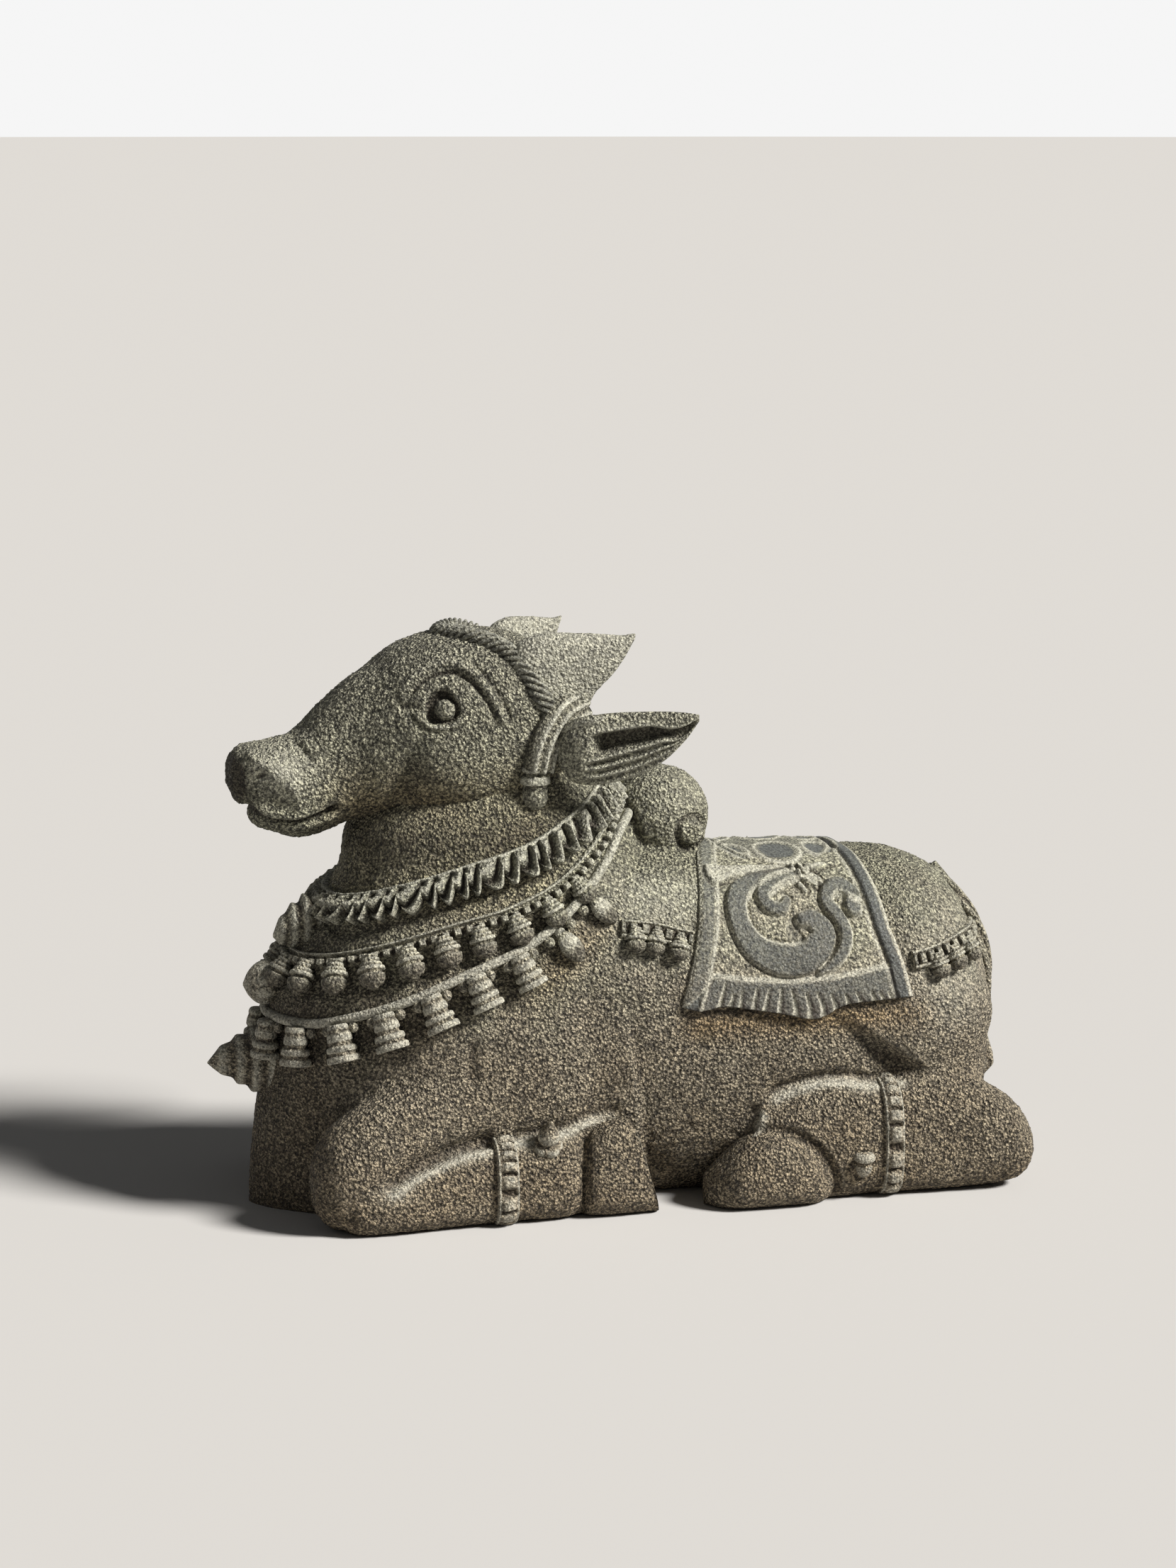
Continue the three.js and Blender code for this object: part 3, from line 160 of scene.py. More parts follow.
HIND_HOOF = (
    (23, 14, 0, 5, 55, 2.2),
    (27, 18, -4, 10, 56, 2.4),
    (33, 23.5, -4, 13.5, 57.5, 2.5),
    (40, 29, -4, 15, 58, 2.4),
    (48, 31, -4, 15.5, 58, 2.3),
    (56, 29.5, -4, 15.2, 58, 2.3),
    (64, 25, -4, 14.2, 58, 2.3),
    (70, 18.5, -4, 11.5, 57.5, 2.3),
    (75.5, 9, -1, 6.5, 56, 2.2),
)

# Lines on the flank, by place and height: the fold before the thigh, the step behind the shoulder, crisp
# upper edges of the folded legs, then grooves round the hooves.
FLANK_FOLD = ((66, 83), (80.5, 73.6), (96.2, 62.5), (114, 50))
SHOULDER_LINE = ((-14, 92), (-10, 72), (-7, 56), (-4, 32), (2, 8), (3, -4))
FORE_LEDGE = ((-116.9, 17.3), (-106, 23.6), (-96, 27.4), (-84, 31.1), (-72, 32.8), (-66, 33.5))
TOE_LEDGE = ((-62, 34.4), (-53, 34.6), (-38, 36.6), (-27.7, 39.9), (-12.5, 41))
HIND_LEDGE = ((47.5, 40.9), (55.4, 45.8), (69.1, 49.6), (79.7, 50), (93.6, 48), (104.8, 48.4), (112, 49.5))
HIND_FOLD = ((28, 12), (34, 21.5), (41.8, 32.6), (47.5, 40.9))
FORE_GROOVE = ((-27.5, 37), (-29.5, 32), (-31.4, 26), (-31.2, 17.9), (-30.2, 9.8), (-29, 2))
LOBE_GROOVE = ((31, 20.5), (39, 30.5), (47, 33.2), (56, 32), (65, 27), (71.5, 20), (76, 12), (78, 2))
# Drop under each ledge, and the share of its length over which it begins. Depth and width of each groove.
LEDGES = ((FORE_LEDGE, 2.6, 0.12), (TOE_LEDGE, 1.8, 0.05), (HIND_LEDGE, 3.0, 0.12), (HIND_FOLD, 2.0, 0.3))
GROOVES = ((FORE_GROOVE, 1.2, 1.2), (LOBE_GROOVE, 2.6, 1.8))
# Parts of the body's skin, each between two planes across the body, and how far they lap and sink there.
BODY_PARTS = (("body_fore", -400, -40), ("body_middle", -40, 45), ("body_hind", 45, 400))
LAP, LAP_SUNK = 4, 0.5
# Middles of the slit over the elbow and of the ring on the hump.
ELBOW_SLIT, HUMP_RING = (-77.7, 68), (27, 151)
# Middle and radii of the hump and of a haunch. Middle, radius and half width of the curl behind the hump.
HUMP = ((16.5, 0, 156.4), (21.6, 22, 20.7))
HAUNCH = ((115, 30.5, 72), (40, 30.5, 33))
HUMP_CURL = ((29, 0, 150), 6.5, 17)

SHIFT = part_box("trunk")[1][0] * 1000 - TRUNK[-1][0]


# Lines and sections

def along(table, place):
    """Columns of a station table at any place: a cubic between two rows, whose slope at a row is that
    from the row before it to the row after it."""
    rows = np.asarray(table, float)
    xs = rows[:, 0]
    place = np.clip(place, xs[0], xs[-1])
    i = np.clip(np.searchsorted(xs, place, side="right") - 1, 0, len(rows) - 2)
    rank = np.arange(len(rows))
    before, after = np.maximum(rank - 1, 0), np.minimum(rank + 1, len(rows) - 1)
    slope = (rows[after] - rows[before]) / (xs[after] - xs[before])[:, None]
    span = (xs[i + 1] - xs[i])[..., None]
    t = ((place - xs[i]) / (xs[i + 1] - xs[i]))[..., None]
    a, b, leave, arrive = rows[i], rows[i + 1], slope[i] * span, slope[i + 1] * span
    bend = 2 * (a - b) + leave + arrive
    return np.moveaxis(a + t * (leave + t * (b - a - leave - bend + t * bend)), -1, 0)


def smooth(points, count):
    """Evenly spaced points on a smooth line through a few chosen ones."""
    points = np.asarray(points, float)
    rows = np.column_stack([np.arange(len(points)), points])
    fine = along(rows, np.linspace(0, len(points) - 1, 40 * len(points)))[1:].T
    length = np.concatenate([[0], np.cumsum(np.linalg.norm(np.diff(fine, axis=0), axis=1))])
    at = np.linspace(0, length[-1], count)
    return np.stack([np.interp(at, length, fine[:, k]) for k in range(fine.shape[1])], -1)


def ease(x, low, high):
    """0 below low, 1 above high, and an S-curve between."""
    t = np.clip((x - low) / (high - low), 0, 1)
    return t * t * (3 - 2 * t)


def hill(x, width):
    """Bell curve of height 1."""
    return np.exp(-(x / width) ** 2)


def arc(x, half):
    """Half circle of height 1 over the places from -half to half."""
    return np.sqrt(np.clip(1 - (x / half) ** 2, 0, 1))


def patch_at(x, z, middle, radii):
    """Bell-shaped patch of height 1 on the flank, round a place."""
    return hill(np.hypot((x - middle[0]) / radii[0], (z - middle[1]) / radii[1]), 1)


def round_turns(count):
    """Angles of a full turn in equal steps."""
    return np.linspace(0, 2 * np.pi, count, endpoint=False)


def rounded(turn, squareness):
    """Point of a rounded square: cosine and sine, each to the power 2 / squareness."""
    c, s = np.cos(turn), np.sin(turn)
    power = 2 / squareness
    return np.sign(c) * np.abs(c) ** power, np.sign(s) * np.abs(s) ** power


def lengthwise(table, place, turn, side=LEFT):
    """Section across the body. The turn starts at the flank and goes over the top."""
    place, turn = np.broadcast_arrays(np.asarray(place, float), np.asarray(turn, float))
    x, top, bottom, half, widest, above, below = along(table, place)
    c, s = rounded(turn, np.where(np.sin(turn) > 0, above, below))
    return np.stack([x, side * c * half, widest + s * np.where(s > 0, top - widest, widest - bottom)], -1)


def leg(table, place, turn, side):
    """Section across a folded leg, whose middle line lies out to one side."""
    place, turn = np.broadcast_arrays(np.asarray(place, float), np.asarray(turn, float))
    x, top, bottom, half, out, squareness = along(table, place)
    c, s = rounded(turn, squareness)
    return np.stack([x, side * (out + c * half), (top + bottom) / 2 + s * (top - bottom) / 2], -1)


def neck(height, turn):
    """Level section of the neck. The turn starts at the chest and goes round the left side."""
    height, turn = np.broadcast_arrays(np.asarray(height, float), np.asarray(turn, float))
    z, front, back, half, widest, ahead, behind = along(NECK, height)
    c, s = rounded(turn, np.where(np.cos(turn) > 0, ahead, behind))
    return np.stack([widest - c * np.where(c > 0, widest - front, back - widest), -s * half, z], -1)


def on_flank(table, place, height, side):
    """Point on the side of a lengthwise form at a place and a height."""
    x, top, bottom, half, widest, above, below = along(table, np.asarray(place, float))
    up = height > widest
    power = np.where(up, above, below)
    share = np.minimum(np.abs(height - widest) / np.where(up, top - widest, widest - bottom), 1)
    out = side * half * (1 - share ** power) ** (1 / power)
    return np.stack([x, out, np.asarray(height, float) + 0 * x], -1)


def unit(v):
    """Directions of length 1."""
    return v / np.maximum(np.linalg.norm(v, axis=-1, keepdims=True), 1e-12)


def facing(surface, u, v, inside):
    """Outward direction of a surface of two numbers, from its slopes both ways."""
    step = 0.02
    along_u = surface(u + step, v) - surface(u - step, v)
    along_v = surface(u, v + step) - surface(u, v - step)
    normal = unit(np.cross(along_u, along_v))
    return normal * np.sign(np.sum(normal * (surface(u, v) - inside), -1, keepdims=True))


def flank_facing(table, place, height, side):
    """Outward direction on the side of a lengthwise form."""
    place, height = np.asarray(place, float), np.asarray(height, float)
    inside = np.stack([place, 0 * place, along(table, place)[4]], -1)
    return facing(lambda u, v: on_flank(table, u, v, side), place, height, inside)


def from_line(x, z, line):
    """Distance of places to a line of short straight pieces, negative to the right of the way along it,
    and the share of the way along at the nearest point."""
    a, b = line[:-1], line[1:]
    run = b - a
    long2 = np.sum(run ** 2, -1)
    dx, dz = x[:, None] - a[:, 0], z[:, None] - a[:, 1]
    t = np.clip((dx * run[:, 0] + dz * run[:, 1]) / long2, 0, 1)
    ox, oz = dx - t * run[:, 0], dz - t * run[:, 1]
    away = ox ** 2 + oz ** 2
    k = np.argmin(away, 1)
    pick = np.arange(len(x)), k
    side = np.sign(run[k, 0] * dz[pick] - run[k, 1] * dx[pick])
    return np.sqrt(away[pick]) * np.where(side == 0, 1, side), (k + t[pick]) / len(a)


# Meshes

def grid_quads(rings, count, loop):
    """Quads between neighbouring rings, round each ring and, for a loop, back to the first."""
    i, j = np.meshgrid(np.arange(rings if loop else rings - 1), np.arange(count), indexing="ij")
    i2, j2 = (i + 1) % rings, (j + 1) % count
    return np.stack([i * count + j, i * count + j2, i2 * count + j2, i2 * count + j], -1).reshape(-1, 4)


def volume(points, quads, tris):
    """Signed volume: the sum over triangles of the corners' triple product, over six."""
    three = np.concatenate([quads[:, :3], quads[:, [0, 2, 3]], tris])
    a, b, c = points[three[:, 0]], points[three[:, 1]], points[three[:, 2]]
    return np.sum(a * np.cross(b, c)) / 6


class Shell:
    """A closed surface: points, quads, triangles, and a tone for each point. The tone's parts are how
    rubbed and pale the stone is, with painted highlight, how dark and polished, how stained, with painted
    bounce light, and how dirty in a hollow, with painted shade, the stone is there."""

    def __init__(self, points, quads, tris, tone=None):
        self.points, self.quads, self.tris = points, quads, tris
        self.tone = np.zeros((len(points), 4)) if tone is None else tone

    @classmethod
    def of_rings(cls, rings, loop=False, tone=None):
        """Skin of a row of rings. A row that isn't a loop gets a cap at each end."""
        rows, count = rings.shape[:2]
        points = rings.reshape(-1, 3)
        tone = np.zeros((rows, count, 4)) if tone is None else np.broadcast_to(tone, (rows, count, 4))
        tones = tone.reshape(-1, 4)
        tris = np.empty((0, 3), int)
        if not loop:
            j = np.arange(count)
            j2 = (j + 1) % count
            n, last = len(points), (rows - 1) * count
            points = np.concatenate([points, rings[[0, -1]].mean(1)])
            tones = np.concatenate([tones, tone[[0, -1]].mean(1)])
            caps = [(j2, j, 0 * j + n), (last + j, last + j2, 0 * j + n + 1)]
            tris = np.concatenate([np.stack(cap, -1) for cap in caps])
        quads = grid_quads(rows, count, loop)
        if volume(points, quads, tris) < 0:
            quads, tris = quads[:, ::-1], tris[:, ::-1]
        return cls(points, quads, tris, tones)

def joined(shells):
    """Several shells as one, side by side."""
    starts = np.cumsum([0] + [len(s.points) for s in shells])
    return Shell(
        np.concatenate([s.points for s in shells]),
        np.concatenate([s.quads + k for s, k in zip(shells, starts)]),
        np.concatenate([s.tris + k for s, k in zip(shells, starts)]),
        np.concatenate([s.tone for s in shells]),
    )


def mesh_of(name, shell):
    """Mesh in metres, in the model's frame."""
    mesh = bpy.data.meshes.new(name)
    corners = np.concatenate([shell.quads.ravel(), shell.tris.ravel()])
    sizes = np.concatenate([np.full(len(shell.quads), 4), np.full(len(shell.tris), 3)])
    mesh.vertices.add(len(shell.points))
    mesh.vertices.foreach_set("co", ((shell.points + (SHIFT, 0, 0)) * 0.001).ravel())
    mesh.loops.add(len(corners))
    mesh.loops.foreach_set("vertex_index", corners.astype(np.int32))
    mesh.polygons.add(len(sizes))
    mesh.polygons.foreach_set("loop_start", (np.cumsum(sizes) - sizes).astype(np.int32))
    mesh.polygons.foreach_set("use_smooth", np.ones(len(sizes), bool))
    tone = mesh.attributes.new("tone", "FLOAT_COLOR", "POINT")
    shades = np.clip(shell.tone, 0, 1)
    tone.data.foreach_set("color", np.column_stack([shades[:, :3], np.ones(len(shades))]).ravel())
    mesh.attributes.new("hollow", "FLOAT", "POINT").data.foreach_set("value", shades[:, 3].copy())
    mesh.update(calc_edges=True)
    mesh.validate()
    return mesh


def placed(name, mesh, material, slot, *nodes):
    """A finished piece that rides on the carving and stands for its nodes."""
    made = bpy.data.objects.new(name, mesh)
    bpy.context.scene.collection.objects.link(made)
    made.data.materials.append(material)
    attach(made, "root")
    if nodes:
        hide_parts(*nodes)


def piece(name, shell, material, slot, *nodes):
    """A finished piece made of a shell."""
    placed(name, mesh_of(name, shell), material, slot, *nodes)


def fused(name, shells, grain):
    """One skin round several overlapping forms, of even quads of about the given size, in millimetres."""
    source = bpy.data.objects.new(name, mesh_of(name, joined(shells)))
    bpy.context.scene.collection.objects.link(source)
    remesh = source.modifiers.new("skin", "REMESH")
    remesh.mode = "VOXEL"
    remesh.voxel_size = grain * 0.001
    bpy.context.view_layer.update()
    mesh = bpy.data.meshes.new_from_object(source.evaluated_get(bpy.context.evaluated_depsgraph_get()))
    bpy.data.objects.remove(source)
    points = np.empty(len(mesh.vertices) * 3)
    mesh.vertices.foreach_get("co", points)
    corners = np.empty(len(mesh.loops), np.int32)
    mesh.loops.foreach_get("vertex_index", corners)
    sizes = np.empty(len(mesh.polygons), np.int32)
    mesh.polygons.foreach_get("loop_total", sizes)
    starts = np.cumsum(sizes) - sizes
    quads = corners[starts[sizes == 4][:, None] + np.arange(4)]
    tris = corners[starts[sizes == 3][:, None] + np.arange(3)]
    bpy.data.meshes.remove(mesh)
    return Shell(points.reshape(-1, 3) * 1000 - (SHIFT, 0, 0), quads, tris)


def pairs_of(shell):
    """Every edge once, as two point numbers."""
    edges = []
    for faces in (shell.quads, shell.tris):
        corners = faces.shape[1]
        edges += [faces[:, [k, (k + 1) % corners]] for k in range(corners)]
    return np.unique(np.sort(np.concatenate(edges), 1), axis=0)


def neighbour_mean(values, pairs):
    """Mean of each point's values over the points that share an edge with it."""
    total = np.zeros_like(values)
    count = np.bincount(pairs.ravel(), minlength=len(values))
    for k in range(values.shape[1]):
        total[:, k] = (np.bincount(pairs[:, 0], values[pairs[:, 1], k], len(values))
                       + np.bincount(pairs[:, 1], values[pairs[:, 0], k], len(values)))
    return total / np.maximum(count, 1)[:, None]


def relaxed(shell, rounds, weight=None):
    """Every point moved a part of the way to the mean of its neighbours, again and again."""
    pairs = pairs_of(shell)
    share = 0.6 if weight is None else 0.6 * weight[:, None]
    for _ in range(rounds):
        shell.points = shell.points + share * (neighbour_mean(shell.points, pairs) - shell.points)
    return pairs


def normals_of(shell):
    """Point normals: the sum of the normals of the faces round each point."""
    p = shell.points
    total = np.zeros_like(p)
    for faces, (a, b) in ((shell.quads, ((0, 2), (1, 3))), (shell.tris, ((0, 1), (0, 2)))):
        if len(faces):
            normal = np.cross(p[faces[:, a[1]]] - p[faces[:, a[0]]], p[faces[:, b[1]]] - p[faces[:, b[0]]])
            for corner in range(faces.shape[1]):
                for k in range(3):
                    total[:, k] += np.bincount(faces[:, corner], normal[:, k], len(p))
    return unit(total)


def wobble(points, size, depth, seed):
    """Slow unevenness of hand-dressed stone: a sum of a few sine waves in fixed random directions."""
    rng = np.random.default_rng(seed)
    waves = rng.normal(size=(10, 3)) / size
    phase = rng.uniform(0, 2 * np.pi, 10)
    return depth * np.sin(points @ waves.T + phase).sum(1) / 3.2


def standing_out(shell, pairs, spread):
    """How far each point stands out of its surroundings, along its normal."""
    normal = normals_of(shell)
    mean = shell.points
    for _ in range(spread):
        mean = neighbour_mean(mean, pairs)
    return np.sum((shell.points - mean) * normal, 1)


# Stone finishes

def link(tree, source, target):
    """A wire between two sockets."""
    tree.links.new(source, target)


def ramp(tree, value, stops):
    """Colour ramp over a value. A stop is a place and a colour, or a number for a grey."""
    node = tree.nodes.new("ShaderNodeValToRGB")
    node.color_ramp.interpolation = "LINEAR"
    stops = tuple(stops)
    while len(node.color_ramp.elements) < len(stops):
        node.color_ramp.elements.new(0.5)
    for element, (at, colour) in zip(node.color_ramp.elements, stops):
        element.position = at
        element.color = (*((colour,) * 3 if isinstance(colour, (int, float)) else colour), 1)
    link(tree, value, node.inputs[0])
    return node.outputs[0]


def mixed(tree, factor, a, b, kind="MIX"):
    """Mix of two colours. Each input is a socket, a number or a colour."""
    node = tree.nodes.new("ShaderNodeMix")
    node.data_type = "RGBA"
    node.blend_type = kind
    for socket, value in ((node.inputs[0], factor), (node.inputs[6], a), (node.inputs[7], b)):
        if isinstance(value, bpy.types.NodeSocket):
            link(tree, value, socket)
        elif isinstance(value, (float, int)):
            socket.default_value = value
        else:
            socket.default_value = (*value, 1)
    return node.outputs[2]


def maths(tree, kind, a, b=None, c=None, clamp=False):
    """Sum on up to three inputs, each a socket or a number."""
    node = tree.nodes.new("ShaderNodeMath")
    node.operation = kind
    node.use_clamp = clamp
    for socket, value in zip(node.inputs, (a, b, c)):
        if isinstance(value, bpy.types.NodeSocket):
            link(tree, value, socket)
        elif value is not None:
            socket.default_value = value
    return node.outputs[0]


def texture(tree, kind, vector, scale, **settings):
    """Texture node at a place. A setting is an input of that name, or else a property."""
    node = tree.nodes.new(kind)
    node.inputs["Scale"].default_value = scale
    link(tree, vector, node.inputs["Vector"])
    for name, value in settings.items():
        if name in node.inputs:
            node.inputs[name].default_value = value
        else:
            setattr(node, name, value)
    return node


# Scales of the stone's patterns, in cells to a metre. Depth of its pits and shift of its cells in metres.
RIPPLE, COARSE, FINE, PATCH, CLOUD, PITS, HOLLOWS = 1100, 950, 1900, 38, 220, 720, 800
PIT_DEPTH, SHAKE = 0.0028, 0.0008


def cell(tree, node):
    """One chance number for each cell of a cell texture."""
    split = tree.nodes.new("ShaderNodeSeparateColor")
    link(tree, node.outputs["Color"], split.inputs[0])
    return split.outputs[0]


def surface_tone(tree, polish, pale):
    """How rubbed, dark, stained and dirty the stone is at a place, from the tone of the surface. The rubbed
    part also holds painted highlight, the stained part painted bounce light and the dirty part painted shade.
    """
    tone, dirt_and_shade = (tree.nodes.new("ShaderNodeAttribute") for _ in range(2))
    tone.attribute_name, dirt_and_shade.attribute_name = "tone", "hollow"
    parts = tree.nodes.new("ShaderNodeSeparateColor")
    link(tree, tone.outputs["Color"], parts.inputs[0])
    rubbed_and_highlight, dark, stain_and_bounce = parts.outputs
    if pale:
        rubbed_and_highlight = maths(tree, "ADD", rubbed_and_highlight, pale, clamp=True)
    if polish:
        dark = maths(tree, "ADD", dark, polish, clamp=True)
    return rubbed_and_highlight, dark, stain_and_bounce, dirt_and_shade.outputs["Fac"]


def grain_colour(tree, place, coarse, fine, colours):
    """Grains of three colours at two sizes, with clouds of the middle colour."""
    cream, middle, black = colours.light_grain, colours.middle_grain, colours.dark_grain
    stones = (black, black, middle, middle, cream, cream)
    big = ramp(tree, cell(tree, coarse), zip((0.0, 0.22, 0.32, 0.55, 0.68, 1.0), stones))
    small = ramp(tree, cell(tree, fine), zip((0.0, 0.18, 0.3, 0.5, 0.62, 1.0), stones))
    cloud = texture(tree, "ShaderNodeTexNoise", place, CLOUD, Detail=3.0, Roughness=0.6)
    clouded = ramp(tree, cloud.outputs["Fac"], ((0.4, 0), (0.8, 0.4)))
    return mixed(tree, clouded, mixed(tree, 0.45, big, small), middle)


def stained(tree, place, stone, stain_and_bounce, colours):
    """Brown low down and green high up, by the height with a slow noise in it, and rust by the tone. The
    brown is earth stain and painted warm bounce light from the floor; the rust tone also carries painted
    bounce light.
    """
    patch = texture(tree, "ShaderNodeTexNoise", place, PATCH, Detail=3.0)
    low = tree.nodes.new("ShaderNodeSeparateXYZ")
    link(tree, place, low.inputs[0])
    height = maths(tree, "MULTIPLY_ADD", patch.outputs["Fac"], 0.12, low.outputs[2])
    brown = ramp(tree, height, ((0.05, 0.8), (0.15, 0.4), (0.2, 0.05), (0.3, 0)))
    green = ramp(tree, height, ((0.14, 0), (0.2, 0.75), (0.26, 0.5), (0.32, 0.2)))
    # Earth stain and painted warm bounce light, low down.
    earth_and_bounce = mixed(tree, brown, stone, colours.earth_and_bounce, "MULTIPLY")
    mossy = mixed(tree, green, earth_and_bounce, colours.moss, "MULTIPLY")
    rust_and_bounce = maths(tree, "MULTIPLY", stain_and_bounce, patch.outputs["Fac"])
    return mixed(tree, rust_and_bounce, mossy, colours.stain_and_bounce, "MULTIPLY")


def worn_polished_and_shaded(tree, stone, fine, tone, colours):
    """Pale where the stone is rubbed and where highlight is painted, blue-grey where it is polished, dark
    brown in hollows with dirt and painted shade.
    """
    rubbed_and_highlight, dark, _, dirt_and_shade = tone
    edge_spots = ramp(tree, cell(tree, fine), ((0.0, 0.22), (0.35, 0.72), (1.0, 1.15)))
    # The pale colour goes on worn places and on painted highlights.
    worn = mixed(tree, 1.0, colours.rubbed_and_highlight, edge_spots, "MULTIPLY")
    with_worn = mixed(tree, maths(tree, "MULTIPLY", rubbed_and_highlight, 0.64), stone, worn)
    slate_spots = ramp(tree, cell(tree, fine), ((0.0, 0.5), (0.7, 1), (1.0, 2.1)))
    slate = mixed(tree, 1.0, colours.slate, slate_spots, "MULTIPLY")
    plain = mixed(tree, maths(tree, "MULTIPLY", dark, 0.9), with_worn, slate)
    # Dirt and painted shade.
    return mixed(tree, maths(tree, "MULTIPLY", dirt_and_shade, 0.85), plain, colours.dirt_and_shade)


def granite(name, colours, relief=1.0, polish=0.0, pale=0.0):
    """Speckled granite: grains of three colours at two sizes, brown low down, earth stain and painted bounce
    light, and green high up, pits from the bush hammer, darkened in colour as painted shade, and rubbed,
    polished, rusty and dirty places from the tone of the surface, which also carry painted highlight, bounce
    light and shade."""
    made = bpy.data.materials.new(name)
    made.use_nodes = True
    tree = made.node_tree
    shader = tree.nodes["Principled BSDF"]
    place = tree.nodes.new("ShaderNodeTexCoord").outputs["Object"]
    rubbed_and_highlight, dark, stain_and_bounce, _ = tone = surface_tone(tree, polish, pale)
    ripple = texture(tree, "ShaderNodeTexNoise", place, RIPPLE, Detail=1.0)
    shake = tree.nodes.new("ShaderNodeVectorMath")
    shake.operation = "MULTIPLY_ADD"
    shake.inputs[1].default_value = (SHAKE,) * 3
    link(tree, ripple.outputs["Color"], shake.inputs[0])
    link(tree, place, shake.inputs[2])
    spot = shake.outputs[0]
    coarse, fine = (texture(tree, "ShaderNodeTexVoronoi", spot, scale) for scale in (COARSE, FINE))
    stone = grain_colour(tree, place, coarse, fine, colours)
    stone = worn_polished_and_shaded(tree, stained(tree, place, stone, stain_and_bounce, colours), fine, tone, colours)

    calm = maths(tree, "MULTIPLY_ADD", maths(tree, "MAXIMUM", rubbed_and_highlight, dark), -0.6, 1.0, clamp=True)
    pits = texture(tree, "ShaderNodeTexNoise", place, PITS, Detail=2.0, Roughness=0.55)
    hollows = texture(tree, "ShaderNodeTexVoronoi", spot, HOLLOWS, feature="SMOOTH_F1", Smoothness=0.3)
    rise = maths(tree, "MULTIPLY_ADD", hollows.outputs["Distance"], -0.8, pits.outputs["Fac"])
    # The pits are darkened in the colour too: painted shade in the hammer's pits.
    deep = ramp(tree, rise, ((0.0, 0.3), (0.16, 1)))
    link(tree, mixed(tree, calm, stone, deep, "MULTIPLY"), shader.inputs["Base Color"])
    bump = tree.nodes.new("ShaderNodeBump")
    bump.inputs["Distance"].default_value = PIT_DEPTH * relief
    link(tree, calm, bump.inputs["Strength"])
    link(tree, rise, bump.inputs["Height"])
    link(tree, bump.outputs[0], shader.inputs["Normal"])
    link(tree, maths(tree, "MULTIPLY_ADD", dark, -0.3, 0.9), shader.inputs["Roughness"])
    shader.inputs["Specular IOR Level"].default_value = 0.3
    return made


def finish_named(name):
    """The finish made once and used by every piece of that kind."""
    if name not in bpy.data.materials:
        colours = bpy.context.scene.granite_colours
        kinds = {
            "rough_granite": {},
            "dressed_granite": {"relief": 0.85, "pale": 0.12},
            "dark_granite": {"relief": 0.5, "polish": 0.45},
            "cloth_granite": {"relief": 0.45, "pale": 0.25},
        }
        granite(name, colours, **kinds[name])
    return bpy.data.materials[name]


# The masses of the animal

def loft(section, table, side=LEFT, rings=120, count=140):
    """Rings of a section at places that stand closer together towards both ends."""
    low, high = table[0][0], table[-1][0]
    places = low + (high - low) * (1 - np.cos(np.linspace(0, np.pi, rings))) / 2
    turns = round_turns(count)
    if section is neck:
        return Shell.of_rings(neck(places[:, None], turns))
    return Shell.of_rings(section(table, places[:, None], turns, side))


def ellipsoid(centre, radii, count=48):
    """Middle plus radii times the sines and cosines of latitude and longitude."""
    up = np.linspace(0, np.pi, count)[:, None]
    turn = round_turns(2 * count)
    ring = np.stack([np.sin(up) * np.cos(turn), np.sin(up) * np.sin(turn), np.cos(up) + 0 * turn], -1)
    return Shell.of_rings(np.asarray(centre) + ring * radii)


def drum(centre, radius, half_width):
    """A short rounded cylinder along Y."""
    turn = round_turns(48)
    rows = [(-half_width, 0.7), (-half_width * 0.86, 1), (half_width * 0.86, 1), (half_width, 0.7)]
    round_x, round_z = np.cos(turn), np.sin(turn)
    rings = [np.stack([radius * r * round_x, 0 * turn + y, radius * r * round_z], -1) for y, r in rows]
    return Shell.of_rings(np.asarray(centre) + np.stack(rings))


def carve_flank(coat, x, y, z, side, sizes):
    """Fold before the thigh, step behind the shoulder, slit over the elbow and ring on the hump, with painted
    shade under the fold and in the slit and the ring.
    """
    move, _, dirt_and_shade = coat
    d, t = from_line(x, z, smooth(FLANK_FOLD, 30))
    deep = sizes.fold_depth * 1000 * ease(t, -0.1, 0.9)
    thigh = 0.35 * deep * np.exp(-d / 9) - 1.35 * deep * (1 - ease(d, -0.5, 6.5))
    fold = np.where(d < 0, -deep * np.exp(d / 12), thigh)
    near = ease(z, 47, 58) * ease(x, 40, 62) * (1 - ease(x, 112, 124)) * side
    move += fold * near
    # Painted shadow under the overhang of the fold.
    dirt_and_shade += 0.7 * hill(d + 2.6, 2.8) * ease(t, 0.25, 0.8) * near
    d, t = from_line(x, z, smooth(SHOULDER_LINE, 30))
    step = -sizes.shoulder_step * 1000 * ease(d, -1.5, 2.5) * np.exp(-np.maximum(d, 0) / 11)
    move += step * side * (1 - ease(z, 70, 95))
    d = np.hypot(x - ELBOW_SLIT[0], np.maximum(np.abs(z - ELBOW_SLIT[1]) - 6, 0))
    move -= 2.2 * hill(d, 2.9) * side
    # Painted shade in the slit.
    dirt_and_shade += 0.4 * hill(d, 2.4) * side
    r = np.hypot(x - HUMP_RING[0], z - HUMP_RING[1])
    on_hump = ease(z - 0.6 * x, 118, 130) * ease(np.abs(y), 8, 12)
    move -= 2.8 * hill(r - 7.2, 1.4) * on_hump
    # Painted shade in the ring's groove.
    dirt_and_shade += 0.75 * hill(r - 7.2, 1.3) * on_hump


